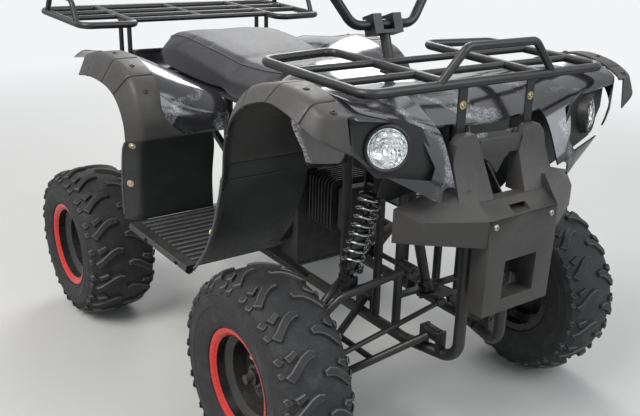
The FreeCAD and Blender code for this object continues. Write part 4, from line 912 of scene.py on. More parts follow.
def carcass_profile(wheel, lug):
    """Half of the carcass's outline, from its bead up to the middle of the tread."""
    half = wheel["half"]
    rim = wheel["rim_half"]
    radius = wheel["radius"]
    side = [(BEAD_RADIUS + 0.5, rim - 5), (RIM_RADIUS + 0.6, rim - 4.4), (RIM_RADIUS + 1.2, rim + 1.5),
            (RIM_RADIUS + 5, rim + 5), (RIM_RADIUS + 9, rim + 6), (RIM_RADIUS + 10, rim + 4.6),
            (RIM_RADIUS + 16, half - 5.5), (radius * 0.66, half - 2.2), (radius * 0.70, half - 1.4),
            (radius * 0.705, half - 0.4), (radius * 0.72, half - 0.4), (radius * 0.725, half - 1.4),
            (radius * 0.80, half - 3.0)]
    top = [(crown(wheel, half * share, lug), half * share)
           for share in (0.965, 0.90, 0.80, 0.68, 0.54, 0.38, 0.2, 0.0)]
    top[0] = (crown(wheel, half, lug) - 8, half * 0.975)
    return side + top


def make_tyre(wheel, centre, count):
    lug = sizes().lug_height / MM
    half = carcass_profile(wheel, lug)
    profile = half + [(radius, -along) for radius, along in half[-2::-1]]
    carcass = smooth(spin(profile, Vector(centre), steps=112), 60)
    carcass.attributes.new("lug_edge", "FLOAT", "FACE")
    lugs = smooth(ring_of(lug_pitch(wheel, lug, TURN / count), count, 0.0, centre, "tyre_rubber"), 30)
    return smooth(joined([carcass, lugs]), 32)


def make_rim(wheel, sign, centre):
    """A dished rim with a painted lip, as one closed turned shape."""
    rim = wheel["rim_half"]
    disc = wheel["disc"]
    wall = 4.0
    hub = 27.0
    bore, out, back = (wheel[key] for key in ("bore", "hub_out", "hub_back"))
    lip = [(RIM_RADIUS, rim - wall), (RIM_RADIUS, rim - 1), (RIM_RADIUS - 1, rim), (RIM_RADIUS - 7, rim),
           (RIM_RADIUS - 11, rim - 1.5), (BEAD_RADIUS - wall, rim - 8), (BEAD_RADIUS - wall, rim - 27)]
    inside = [(82, rim - 38), (82, disc - 11), (80, disc - 15), (76, disc - 15), (72, disc - 11),
              (60, disc - 1), (52, disc), (hub + 2, disc), (hub, disc + 2), (hub, disc + out - 2),
              (hub - 2, disc + out), (bore, disc + out), (bore, disc - back), (hub, disc - back),
              (hub, disc - wall), (52, disc - wall), (74, disc - 16), (78, disc - 19), (82, disc - 18),
              (82, -rim + 38), (BEAD_RADIUS - wall, -rim + 27), (BEAD_RADIUS - wall, -rim)]
    outside = [(RIM_RADIUS - 1, -rim), (RIM_RADIUS, -rim + 1), (RIM_RADIUS, -rim + wall),
               (BEAD_RADIUS, -rim + wall), (BEAD_RADIUS, -rim + 26), (86, -rim + 36), (86, rim - 36),
               (BEAD_RADIUS, rim - 26), (BEAD_RADIUS, rim - wall)]
    profile = lip + inside + outside
    marks = [1] * 5 + [0] * (len(profile) - 5)
    if sign < 0:
        profile = [(radius, -along) for radius, along in profile]
    return smooth(spin(profile, Vector(centre), steps=72, marks=marks), 32)


def build_wheels():
    for wheel in (FRONT_WHEEL, REAR_WHEEL):
        front = wheel["end"] == "front"
        disc = wheel["disc"]
        count = sizes().lugs_front if front else sizes().lugs_rear
        for name, sign in SIDES:
            middle = (AXLE_FRONT.x, sign * AXLE_FRONT.y, AXLE_FRONT.z) if front else (
                AXLE_REAR.x, sign * REAR_TRACK, AXLE_REAR.z)
            body = "wheel_front_" + name if front else "rear_axle"
            label = "%s_%s" % (wheel["end"], name)
            add_piece("tread_" + label, make_tyre(wheel, middle, count), body, ["tyre_rubber"],
                      ["tyre_" + label])
            add_piece("dished_rim_" + label, make_rim(wheel, sign, middle), body,
                      ["rim_black", "lip_red"], ["rim_" + label])
            nut = spin([(0, 8), (4.2, 8), (7, 6), (8.5, 0), (0, 0)], Vector((0, disc, 41.0)), steps=6)
            cap = spin([(0, 10), (12, 9.4), (17, 6), (18, 0), (0, 0)],
                       Vector((0, disc + wheel["hub_out"], 0)), steps=32)
            nuts = ring_of(on_side(nut, sign), 4, TURN / 8, middle, "zinc")
            cap = ring_of(on_side(cap, sign), 1, 0.0, middle, "rim_black")
            add_piece("wheel_nuts_" + label, smooth(nuts, 30), body, ["zinc"])
            add_piece("hub_cap_" + label, smooth(cap, 35), body, ["rim_black"])


# Matt panels

# stations along a panel: x and z of its crease, x and z of its edge, and y at inside, crease and edge
LEG_SHIELD = (
    (-262, 385.3, -232, 385.3, 225, 433, 455), (-200, 462, -168, 458, 225, 433, 455),
    (-165, 530, -136, 518, 225, 433, 455), (-138, 600, -108, 590, 225, 431, 455),
    (-126, 655, -92, 648, 245, 429, 455),
)
FRONT_FLARE = (
    (-126, 655.3, -92, 648.3, 245, 429, 455), (-122, 712, -86, 703, 275, 425, 455),
    (-98, 775, -64, 755, 305, 425, 455), (-44, 826, -20, 795, 375, 425, 455),
    (30, 850, 30, 816, 375, 425, 455), (85, 857, 82, 826, 375, 425, 455),
    (150, 848, 138, 818, 375, 425, 455),
    (196, 829, 204, 785, 375, 421, 435), (212, 823, 222, 757, 365, 383, 379),
)
MUDGUARD = (
    (352, 385.3, 322, 385.3, 225, 425, 455), (350, 470, 320, 472, 225, 425, 455),
    (364, 560, 334, 564, 225, 425, 455), (384, 598, 352, 592, 240, 425, 455),
)
REAR_FLARE = (
    (384, 598.3, 352, 592.3, 315, 425, 455), (380, 650, 346, 634, 365, 425, 455),
    (352, 715, 318, 676, 365, 425, 455), (300, 752, 276, 700, 365, 425, 455),
    (230, 768, 220, 710, 365, 425, 455), (140, 768, 138, 710, 365, 425, 455),
    (58, 752, 74, 700, 365, 425, 455),
)
# piece, stations, the axle they are measured from, seams by station number, finish
PANELS = (
    ("front_flare", FRONT_FLARE, AXLE_FRONT, (1.5, 3.1, 4.7, 6.4), "panel_plastic"),
    ("leg_shield", LEG_SHIELD, AXLE_FRONT, (3.3,), "shield_black"),
    ("rear_flare", REAR_FLARE, AXLE_REAR, (2.6, 3.9, 5.2), "panel_plastic"),
    ("mudguard", MUDGUARD, AXLE_REAR, (), "shield_black"),
)
PANEL_NODES = {"leg_shield": "leg_shields", "rear_flare": "rear_flares", "mudguard": "mudguards"}


def moved_stations(stations, axle):
    return [(s[0] + axle.x, s[1], s[2] + axle.x) + s[3:] for s in stations]


def build_panels():
    wall = sizes().wall
    for name, stations, axle, seams, finish in PANELS:
        rows = panel_rows(moved_stations(stations, axle), seams, (13.0, 5.0, 2.0))
        left = smooth(skin(rows, wall), 32)
        if name == "front_flare":
            for side, sign in SIDES:
                add_piece("%s_skin_%s" % (name, side), on_side(left, sign), "chassis",
                          [finish], ["flare_front_" + side])
        else:
            add_piece(name + "_skins", smooth(paired(left), 32), "chassis", [finish],
                      [PANEL_NODES[name]])


# Gloss bodywork

# x of each station, with the (y, z) of its half section from the ridge outwards
BONNET = (
    (-44, ((0, 800), (140, 808), (235, 814), (325, 806), (374.7, 806), (374.7, 794))),
    (30, ((0, 808), (140, 814), (235, 822), (325, 826), (374.7, 846), (374.7, 818))),
    (85, ((0, 800), (140, 808), (235, 820), (325, 830), (374.7, 854), (374.7, 826))),
    (150, ((0, 776), (140, 783), (235, 808), (325, 828), (374.7, 844), (374.7, 815))),
    (200, ((0, 742), (140, 752), (235, 786), (325, 812), (364.7, 820), (364.7, 752))),
    (246, ((0, 655), (120, 658), (165, 672), (176, 668), (180, 664), (182, 640))),
)
TANK = (
    (-434, ((0, 764), (70, 758), (130, 728), (165, 690), (178, 600))),
    (-340, ((0, 806), (70, 797), (130, 765), (178, 704), (190, 592))),
    (-190, ((0, 806), (60, 799), (112, 782), (170, 722), (180, 600))),
    (-48, ((0, 800), (60, 798), (120, 790), (170, 740), (180, 640))),
)
# x and z of the fender's ridge, x and z below it, and how far its inner edge falls
FENDER = (
    (384, 598.3, 352, 592.3, 0), (380, 650, 346, 634, 12), (352, 715, 318, 676, 44), (300, 752, 276, 700, 78),
    (230, 768, 220, 710, 92), (140, 768, 138, 710, 92), (58, 752, 74, 700, 78), (-40, 738, -40, 700, 62),
    (-130, 724, -130, 690, 50), (-205, 694, -205, 660, 20),
)
LAMP_AT = Vector((AXLE_FRONT.x + 200, 283, 752))
LAMP_FACE = Vector((0.9, 0.4, 0.08)).normalized()
FENDER_INNER_Y = 188.0
FENDER_OUTER_Y = 364.7
FENDER_FOOT_Y = 314.7
# outline of the dark socket round a lamp, a plate of painted shade in the recess, outwards and upwards from
# the lamp's middle
SOCKET = ((78, 58), (-20, 44), (-63, 28), (-97, -42), (-88, -64), (18, -47), (66, 2))
# the socket's plate against its opening: shares of width and height, depths of both faces, and lean
SOCKET_WIDER = 1.13
SOCKET_TALLER = 1.15
SOCKET_DEPTHS = (-4, -7)
SOCKET_LEAN = 0.19
# outlines in y and z: the very dark sheet of painted shade beside the bumper's post, and the bonnet's tongue
# between the posts
NOSE_SHADE_SHEET = ((88, 768), (150, 774), (205, 768), (228, 724), (246, 684), (262, 640), (230, 628), (150, 640),
              (88, 690))
NOSE_TONGUE = ((-66, 746), (66, 746), (54, 706), (22, 690), (0, 664), (-22, 690), (-54, 706))


def slab(outline, top_x, low_x, thick):
    """A plate across the bike, given in y and z, that leans from one x at its top to another below."""
    high, low = max(z for y, z in outline), min(z for y, z in outline)
    near, far = ([Vector((low_x + (top_x - low_x) * (z - low) / (high - low) + back, y, z))
                  for y, z in outline] for back in (0, -thick))
    return extruded(near, far)


def recess_shade_plate():
    """The very dark plate of painted shade sunk behind the left lamp's opening, with a hole for the lamp."""
    ahead = LAMP_FACE
    across = Vector((0, 0, 1)).cross(ahead).normalized()
    upward = ahead.cross(across)
    points = []
    for depth in SOCKET_DEPTHS:
        for a, b in SOCKET:
            wide = a * SOCKET_WIDER
            points.append(LAMP_AT + across * wide + upward * (b * SOCKET_TALLER)
                          + ahead * (depth + SOCKET_LEAN * wide))
    count = len(SOCKET)
    faces = [tuple(range(count)), tuple(range(count, 2 * count))]
    faces += [(i, (i + 1) % count, (i + 1) % count + count, i + count) for i in range(count)]
    plate = tidy_mesh(mesh_from("socket", points, faces))
    return cut_by(plate, [prism(circle(42), LAMP_AT, ahead, 60)])


def arched_rows(stations, axle, radii, density=6):
    """Rows over an arched shell, from one side across the ridge to the other."""
    count = len(stations[0][1])
    lines = [[(axle.x + x, half[index][0], half[index][1]) for x, half in stations] for index in range(count)]
    last = len(stations) - 1
    rows = []
    for step in range(last * density + 1):
        place = step / density
        half = [through(line, place) for line in lines]
        other = [Vector((point.x, -point.y, point.z)) for point in half[:0:-1]]
        rows.append(rounded(other + half, radii[::-1] + radii[1:], 4))
    return rows


def prism(outline, centre, direction, reach):
    """A straight block with a (side, up) outline about a point, along a direction."""
    ahead = Vector(direction).normalized()
    across = Vector((0, 0, 1)).cross(ahead).normalized()
    upward = ahead.cross(across)
    near, far = ([centre + ahead * shift + across * a + upward * b for a, b in outline]
                 for shift in (-reach, reach))
    return extruded(near, far)


def cut_by(mesh, cutters):
    """A mesh with others cut out of it."""
    items = []
    modifiers = []
    for cutter in cutters:
        item = bpy.data.objects.new("cutter", cutter)
        scene.collection.objects.link(item)
        items.append(item)
        modifiers.append(("BOOLEAN", {"operation": "DIFFERENCE", "solver": "EXACT", "object": item}))
    result = baked(mesh, modifiers)
    for item in items:
        bpy.data.objects.remove(item)
    return result


def circle(radius, steps=40):
    return [(radius * math.cos(TURN * i / steps), radius * math.sin(TURN * i / steps)) for i in range(steps)]


def block(low, high):
    """A box as a cutter, from two corners in millimetres."""
    middle = (Vector(low) + Vector(high)) / 2
    half = (Vector(high) - Vector(low)) / 2
    outline = [(-half.y, -half.z), (half.y, -half.z), (half.y, half.z), (-half.y, half.z)]
    return prism(outline, middle, (1, 0, 0), half.x)


def lamp_spots():
    """Sign, middle and direction of the left and the right lamp."""
    for _, sign in SIDES:
        yield (sign, Vector((LAMP_AT.x, sign * LAMP_AT.y, LAMP_AT.z)),
               Vector((LAMP_FACE.x, sign * LAMP_FACE.y, LAMP_FACE.z)))


def build_bonnet(wall):
    holes = [block((AXLE_FRONT.x + 176, -148, 560), (AXLE_FRONT.x + 320, 148, 920))]
    for sign, place, face in lamp_spots():
        holes.append(prism(circle(44.5), place, face, 80))
        # the bonnet is opened to the socket's outline, so that the plate of painted shade shows there
        holes.append(prism([(a * sign, b) for a, b in SOCKET], place, face, 80))
    bonnet = cut_by(skin(arched_rows(BONNET, AXLE_FRONT, (4.0,) * 5), wall), holes)
    add_piece("bonnet_skin", smooth(bonnet, 30), "chassis", ["gloss_paint"], ["bonnet"])


def build_tank(wall):
    tank = skin(arched_rows(TANK, AXLE_FRONT, (20.0,) * 4, 8), wall)
    stem_hole = prism(circle(26), STEM_FOOT + STEM_UP * 500, STEM_UP, 120)
    add_piece("tank_skin", smooth(cut_by(tank, [stem_hole]), 30), "chassis", ["gloss_paint"],
              ["tank_cover"])


def build_fender(wall):
    """Both wings over the rear wheels, and the deck between them that carries the seat."""
    lines = ([], [], [])
    for x, z, low_x, low_z, fall in FENDER:
        drop = math.hypot(low_x - x, low_z - z)
        down = Vector((low_x - x, 0, low_z - z)) / drop
        out_y = FENDER_FOOT_Y if z < 600 else FENDER_OUTER_Y
        edge = Vector((AXLE_REAR.x + x, 0, z))
        lines[0].append(edge + Vector((0, FENDER_INNER_Y, 0)) + down * fall)
        lines[1].append(edge + Vector((0, (FENDER_INNER_Y + out_y) / 2, 0)) + down * fall * 0.42)
        lines[2].append(edge + Vector((0, out_y, 0)))
    rows = [rounded([through(line, step / 6) for line in lines], (40.0,), 6)
            for step in range((len(FENDER) - 1) * 6 + 1)]
    side = skin(rows, wall)
    deck = block((AXLE_REAR.x - 205, -190, 672), (AXLE_REAR.x + 296, 190, 676))
    tail = block((AXLE_REAR.x - 208, -190, 674), (AXLE_REAR.x - 203, 190, 701))
    deck = baked(joined([deck, tail]), [("BEVEL", {"width": 0.001, "segments": 2})])
    whole = joined([side, mirror_copy(side), deck])
    add_piece("fender_skin", smooth(whole, 30), "chassis", ["gloss_paint"], ["rear_fender"])


def build_gloss():
    for build in (build_bonnet, build_tank, build_fender):
        build(sizes().wall)


# Bumper


def edged_copy(node, width, segments=3, angle=22):
    """A copy of a CAD node's mesh with its flat faces joined and its edges rounded."""
    source = frame["nodes"][node].data
    mesh = bpy.data.meshes.new("copy")
    shape = bmesh.new()
    shape.from_mesh(source)
    bmesh.ops.remove_doubles(shape, verts=shape.verts, dist=0.00002)
    bmesh.ops.dissolve_limit(shape, angle_limit=math.radians(1.0), verts=shape.verts, edges=shape.edges)
    bmesh.ops.recalc_face_normals(shape, faces=shape.faces)
    shape.to_mesh(mesh)
    shape.free()
    return baked(mesh, [("BEVEL", {"width": width, "segments": segments, "limit_method": "ANGLE",
                                   "angle_limit": math.radians(angle)})])


def build_bumper():
    add_piece("bumper_shell", smooth(edged_copy("bumper", 0.005), 30), "chassis",
              ["panel_plastic"], ["bumper"])


# Lamps


def build_lamps():
    """Headlamps with what surrounds them, dark sheets of painted shade among it, and the tail lamp."""
    # (radius, along) outlines about the lamp's axis
    bowl = [(0, -22), (9, -22), (10, -19), (22, -12), (31, -2), (35, 6), (37, 6), (33, -4), (24, -15),
            (11, -24), (0, -26)]
    lens = [(0, 13), (14, 12.4), (26, 10.4), (33, 7.4), (36, 5.5), (36, 4), (30, 5.6), (14, 9), (0, 10)]
    case = [(36, 4), (38, 8), (41, 9.5), (43.6, 8), (44, 4), (44, -18), (38, -24), (26, -46), (0, -50),
            (0, -47), (24, -43), (35, -22)]
    bulb = [(0, -6), (4, -7.5), (5.5, -12), (5, -19), (7, -22), (0, -22)]
    reflectors, cases, lenses = [], [], []
    for _, place, face in lamp_spots():
        reflectors += [spin(bowl, place, face, 48), spin(bulb, place, face, 24)]
        lenses.append(spin(lens, place, face, 48))
        cases.append(spin(case, place, face, 48))
    add_piece("lamp_cases", smooth(joined(cases), 35), "chassis", ["lamp_black_and_recess_shade"], ["headlamps"])
    # painted shade: the sheets beside the bumper's posts and the plates round the lamps stand for the shade
    # in those recesses
    shade_sheet = slab(NOSE_SHADE_SHEET, AXLE_FRONT.x + 155, AXLE_FRONT.x + 155, 3)
    add_piece("nose_liners", smooth(paired(shade_sheet), 30), "chassis", ["lamp_black_and_recess_shade"])
    tongue = slab(NOSE_TONGUE, AXLE_FRONT.x + 196, AXLE_FRONT.x + 212, 3)
    add_piece("bonnet_tongue", smooth(tongue, 30), "chassis", ["gloss_paint"])
    add_piece("lamp_sockets", smooth(paired(recess_shade_plate()), 30), "chassis", ["lamp_black_and_recess_shade"])
    add_piece("lamp_reflectors", smooth(joined(reflectors), 35), "chassis", ["reflector"])
    add_piece("lamp_lenses", smooth(joined(lenses), 35), "chassis", ["lens_clear"])
    add_piece("tail_lens", smooth(edged_copy("tail_lamp", 0.001), 30), "chassis", ["lens_red"],
              ["tail_lamp"])


# Seat and pad

# x, half width above and below, underside and top of each station
SEAT = (
    (-96, 108, 138, 676.3, 742), (-60, 134, 166, 676.3, 770), (70, 150, 182, 676.3, 788),
    (230, 146, 182, 676.3, 778), (300, 138, 176, 676.3, 768), (334, 128, 172, 664, 760),
    (430, 112, 160, 662, 758), (474, 98, 142, 668, 762),
)
# the decks that carry the seat and its nose, where the nose begins, and the cushion's widest half
SEAT_DECK = 676.4
NOSE_DECK = 662.3
NOSE_START = 300
SEAT_HALF = 185.5


def pad_swollen(mesh, swell, voxel, frames=20):
    """Cloth pressure swells a cushion's cover, no point further than the cap."""
    solid = baked(mesh, [("REMESH", {"mode": "VOXEL", "voxel_size": voxel})])
    if swell <= 0:
        return solid
    cover = bpy.data.objects.new("cover", solid)
    scene.collection.objects.link(cover)
    before = [vertex.co.copy() for vertex in solid.vertices]
    cloth = cover.modifiers.new("cloth", "CLOTH")
    cloth.settings.use_pressure = True
    cloth.settings.uniform_pressure_force = 4.0
    cloth.settings.effector_weights.gravity = 0.0
    cloth.point_cache.frame_start = 1
    cloth.point_cache.frame_end = frames
    for number in range(1, frames + 1):
        scene.frame_set(number)
    swollen = baked(cover)
    bpy.data.objects.remove(cover)
    scene.frame_set(1)
    for vertex, start in zip(swollen.vertices, before):
        move = vertex.co - start
        if move.length > swell:
            vertex.co = start + move.normalized() * swell
    return swollen


def build_seat():
    rows = []
    for x, top_half, low_half, low, high in SEAT:
        high -= 4
        rows.append([Vector((AXLE_REAR.x + x, y, z)) for y, z in (
            (0, low + 1), (-low_half + 22, low + 1), (-low_half + 2, low + 6), (-low_half - 1, high - 42),
            (-top_half - 3, high - 12), (-top_half + 12, high - 3), (-top_half * 0.5, high), (0, high - 2),
            (top_half * 0.5, high), (top_half - 12, high - 3), (top_half + 3, high - 12),
            (low_half + 1, high - 42), (low_half - 2, low + 6), (low_half - 22, low + 1))])
    lines = list(zip(*rows))
    dense = [[through(line, step / 6) for line in lines] for step in range((len(rows) - 1) * 6 + 1)]
    hull = baked(lofted(dense), [("BEVEL", {"width": 0.012, "segments": 3, "limit_method": "ANGLE",
                                            "angle_limit": math.radians(50)})])
    cushion = pad_swollen(hull, sizes().seat_swell, 0.0055)
    half = SEAT_HALF * MM
    for vertex in cushion.vertices:
        forward = vertex.co.x / MM - AXLE_REAR.x
        deck = SEAT_DECK if forward < NOSE_START else NOSE_DECK
        vertex.co.z = max(vertex.co.z, deck * MM)
        vertex.co.y = max(min(vertex.co.y, half), -half)
    cushion = baked(cushion, [("SMOOTH", {"factor": 0.5, "iterations": 3}),
                              ("SUBSURF", {"levels": 1, "render_levels": 1})])
    piece = add_piece("seat_cushion", smooth(cushion, 60), "chassis", ["seat_vinyl"], ["seat"])
    add_seat_seams(cushion)


def tube_along(path, radius, sides=8):
    """A tube of a few sides along points in millimetres."""
    rows = []
    lift = Vector((0, 0, 1))
    for index, spot in enumerate(path):
        run = (path[min(index + 1, len(path) - 1)] - path[max(index - 1, 0)]).normalized()
        across = lift.cross(run)
        if across.length < 0.1:
            across = Vector((0, 1, 0)).cross(run)
        across.normalize()
        upward = run.cross(across)
        rows.append([spot + across * radius * math.cos(TURN * i / sides)
                     + upward * radius * math.sin(TURN * i / sides) for i in range(sides)])
    return lofted(rows)


def add_seat_seams(cushion):
    """Welted seams along both upper edges, laid on the finished cushion."""
    surface = BVHTree.FromPolygons([vertex.co.copy() for vertex in cushion.vertices],
                                   [tuple(face.vertices) for face in cushion.polygons])
    seams = []
    for sign in (1, -1):
        guide = [Vector((AXLE_REAR.x + x, sign * (top_half + 1), high - 8))
                 for x, top_half, _, _, high in SEAT]
        path = []
        for step in range((len(guide) - 1) * 10 + 1):
            spot = through(guide, step / 10)
            place, normal, _, _ = surface.find_nearest(spot * MM)
            path.append((place + normal * 0.0006) / MM)
        seams.append(tube_along(path, 1.9))
    add_piece("seat_welts", smooth(joined(seams), 60), "chassis", ["seat_vinyl"])


def build_bar_pad():
    low, high = (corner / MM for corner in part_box("bar_pad"))
    middle = (low + high) / 2
    half = (high - low) / 2
    outline = []
    for index in range(32):
        angle = TURN * index / 32
        outline.append([math.copysign(abs(value) ** 0.55, value)
                        for value in (math.cos(angle), math.sin(angle))])
    rows = []
    for along, share in ((-1, 0.80), (-0.97, 0.90), (-0.9, 0.955), (-0.5, 0.99), (0, 1.0), (0.5, 0.99),
                         (0.9, 0.955), (0.97, 0.90), (1, 0.80)):
        rows.append([middle + Vector((a * half.x * share * 0.97, along * (half.y - 3),
                                      b * half.z * share * 0.97)) for a, b in outline])
    pad = pad_swollen(lofted(rows), 0.002, 0.004)
    piece = add_piece("bar_pad_cover", smooth(pad, 60), "steering", ["pad_cloth"], ["bar_pad"])


# Controls

# half the handlebar's length, and how far up the stem its middle is
BAR_HALF = 355.0
BAR_RISE = 623


def build_grips():
    meshes = []
    bar_mid = STEM_FOOT + STEM_UP * BAR_RISE
    for sign in (1, -1):
        end = bar_mid + Vector((-70, sign * BAR_HALF, 147))
        root = bar_mid + Vector((-30, sign * 196, 155))
        along = (root - end).normalized()
        profile = [(12, -4.5), (14.5, -4.5), (15.8, -3), (15.8, 3)]
        for ring in range(18):
            base = 6 + ring * 5.6
            profile += [(14.2, base), (14.2, base + 1.6), (15.6, base + 2.3), (15.6, base + 5.0)]
        profile += [(13.8, 109), (15.9, 112), (15.9, 118), (14.0, 119.6), (11.4, 119.6), (11.4, 0.4),
                    (0, 0.4), (0, -4.5)]
        meshes.append(spin(profile, end, along, 32))
    add_piece("ribbed_grips", smooth(joined(meshes), 40), "steering", ["grip_rubber"], ["grips"])


# Suspension


def spring_mesh(low, high, radius, wire, body_radius, turns):
    """A coil round its damper, between two points in millimetres."""
    run = high - low
    length = run.length
    axis = run.normalized()
    turn = Vector((0, 0, 1)).rotation_difference(axis).to_matrix().to_4x4()
    first = 30.0
    last = length - 26.0
    coil = grown("wound_spring", {"Radius": (radius - wire) * MM, "Height": (last - first) * MM,
                                  "Turns": float(turns), "Wire": wire * MM,
                                  "Finish": materials["coil_black"]})
    coil.transform(Matrix.Translation((low + axis * first) * MM) @ turn)
    damper = [(0, 9), (9, 9), (9.6, 18), (body_radius, 19), (body_radius, length * 0.55),
              (body_radius - 2, length * 0.56), (7, length * 0.57), (7, length - 16), (10, length - 15),
              (10, length - 9), (0, length - 9)]
    seats = [(body_radius, first - 10), (radius, first - 9), (radius + 0.5, first - 5),
             (radius - 1, first - 3), (body_radius, first - 3)]
    crown_seat = [(7.2, last + 3), (radius - 1, last + 3), (radius + 0.4, last + 5), (radius, last + 8),
                  (12, last + 14), (7.2, last + 14)]
    solid = [spin(profile, low, axis, 36) for profile in (damper, seats, crown_seat)]
    return coil, solid


def eye_mesh(spot, axis):
    """A bored eye across an axis."""
    outer = [(5.2, -13), (11, -13), (12, -12), (12, 12), (11, 13), (5.2, 13)]
    return spin(outer, spot, Vector(axis), 32)


def build_shocks():
    low = Vector((AXLE_FRONT.x, 205, 396))
    high = Vector((AXLE_FRONT.x, 146, 596))
    coil, solid = spring_mesh(low, high, 27, 4.2, 15, sizes().coil_turns)
    solid += [eye_mesh(low, (1, 0, 0)), eye_mesh(high, (1, 0, 0))]
    # painted highlight: the front coils get the bright metal finish, though they are black like the rear coil
    add_piece("front_coils", smooth(paired(coil), 60), "chassis", ["coil_painted_highlight"], ["front_shocks"])
    add_piece("front_dampers", smooth(paired(joined(solid)), 35), "chassis", ["coil_black"])
    low = Vector((AXLE_REAR.x + 125, 0, 318))
    high = Vector((AXLE_REAR.x + 168, 0, 586))
    coil, solid = spring_mesh(low, high, 30, 4.6, 17, sizes().coil_turns + 1)
    solid += [eye_mesh(low, (0, 1, 0)), eye_mesh(high, (0, 1, 0))]
    add_piece("rear_coil", smooth(coil, 60), "chassis", ["coil_black"], ["rear_shock"])
    add_piece("rear_damper", smooth(joined(solid), 35), "chassis", ["coil_black"])


# Bolts, trims (painted edge highlights and treads) and chain


def panel_spot(stations, axle, place, drop, towards):
    """A point of a panel and the way it faces, at a fractional station number.

    A drop above 0 is the share of the way from the crease down to the band's edge, and one below 0
    the share of the way in from the crease. Towards is a rough direction that the spot faces.
    """
    creases = [Vector((axle.x + s[0], s[5], s[1])) for s in stations]
    edges = [Vector((axle.x + s[2], s[6], s[3])) for s in stations]
    insides = [Vector((axle.x + s[0], s[4], s[1])) for s in stations]
    last = len(stations) - 1
    crease = through(creases, place)
    far = through(edges if drop > 0 else insides, place)
    onward = through(creases, min(place + 0.1, last)) - through(creases, max(place - 0.1, 0))
    facing = onward.cross(far - crease).normalized()
    if facing.dot(Vector(towards)) < 0:
        facing = -facing
    return crease.lerp(far, abs(drop)) + facing * 0.5, facing


def both_sides(spots):
    """Spots on the left and their mirror images."""
    return [((x, sign * y, z), (a, sign * b, c)) for sign in (1, -1) for (x, y, z), (a, b, c) in spots]


def build_bolts():
    upward, outward, forward = (0, 0, 1), (0, 1, 0), (1, 0, 0)
    flares = [panel_spot(FRONT_FLARE, AXLE_FRONT, place, -0.45, upward) for place in (3.9, 5.5, 7.0)]
    flares += [panel_spot(REAR_FLARE, AXLE_REAR, place, -0.45, upward) for place in (1.9, 3.25, 4.55, 5.7)]
    laps = [panel_spot(MUDGUARD, AXLE_REAR, place, 0.5, outward) for place in (2.6, 1.1)]
    laps += [panel_spot(LEG_SHIELD, AXLE_FRONT, place, 0.5, outward) for place in (3.55, 1.6)]
    laps += [panel_spot(LEG_SHIELD, AXLE_FRONT, 3.55, drop, forward) for drop in (-0.2, -0.62)]
    laps = [(spot - facing * (4.5 if facing.x > 0.5 and abs(facing.y) < 0.3 else 0), facing)
            for spot, facing in laps]
    strap_x = AXLE_FRONT.x + 193.7
    straps = [((strap_x, 95, z), (1, 0, 0)) for z in (735, 809)]
    plate = [((AXLE_FRONT.x + 299, 80, 590), (1, 0, 0.1))]
    button = screw_mesh(5.0, 2.2, 6.2)
    head = screw_mesh(5.5, 4.0, 8.5)
    add_piece("flare_bolts", copies_at(button, both_sides(flares), "powder_black"), "chassis",
              ["powder_black"])
    add_piece("lap_bolts", copies_at(head, both_sides(laps + straps), "zinc"), "chassis",
              ["zinc"])
    add_piece("bumper_bolts", copies_at(button, both_sides(plate), "bare_steel"), "chassis",
              ["bare_steel"])


def build_edge_highlights_and_treads():
    """Painted highlights along the outer edges of shields and mudguards, as pale grey tubes, and bars on the
    platforms.
    """
    edge_highlight_tubes = []
    for stations, axle in ((LEG_SHIELD, AXLE_FRONT), (MUDGUARD, AXLE_REAR)):
        edges = [Vector((axle.x + s[2], s[6] - 1.5, s[3])) for s in stations]
        steps = (len(edges) - 1) * 6
        path = [through(edges, step / 6) for step in range(1, steps)]
        # painted highlight: a pale tube along each outer edge
        lip = tube_along(path, 3.2)
        edge_highlight_tubes += [lip, mirror_copy(lip)]
    add_piece("panel_lips", smooth(joined(edge_highlight_tubes), 60), "chassis", ["tread_grey_and_edge_highlight"])
    outer_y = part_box("foot_platforms")[1].y / MM
    front = AXLE_FRONT.x + LEG_SHIELD[0][0] - 12
    back = AXLE_REAR.x + MUDGUARD[0][0] + 12
    floor_z = 385.0
    count = 12
    bars = []
    for index in range(count):
        x = back + (front - back) * (index + 0.5) / count
        bar = block((x - 4, 236, floor_z - 0.5), (x + 4, outer_y - 26, floor_z + 3.2))
        bars += [bar, mirror_copy(bar)]
    treads = baked(joined(bars), [("BEVEL", {"width": 0.0012, "segments": 2})])
    add_piece("platform_treads", smooth(treads, 40), "chassis", ["tread_grey_and_edge_highlight"])


CHAIN_Y = 66.0
DRIVER = Vector((AXLE_REAR.x + 340, CHAIN_Y, 335))
PITCH = 12.7


def link_pair():
    """One outer and one inner link with their rollers, along X about the origin."""
    pieces = []
    for shift, y in ((-PITCH / 2, 5.4), (PITCH / 2, 3.9)):
        outline = []
        for centre, start in ((PITCH / 2, -0.5), (-PITCH / 2, 0.5)):
            for step in range(7):
                angle = math.pi * (start + step / 6)
                outline.append((centre + 4.6 * math.cos(angle), 4.6 * math.sin(angle)))
        for sign in (1, -1):
            pieces.append(extruded(*([(x + shift, sign * y + half, z) for x, z in outline]
                                     for half in (-0.7, 0.7))))
    pin = [(0, -6.6), (2.0, -6.6), (2.0, -3.0), (3.9, -3.0), (3.9, 3.0), (2.0, 3.0), (2.0, 6.6), (0, 6.6)]
    for x in (-PITCH, 0.0):
        pieces.append(spin(pin, Vector((x, 0, 0)), steps=10))
    return joined(pieces)


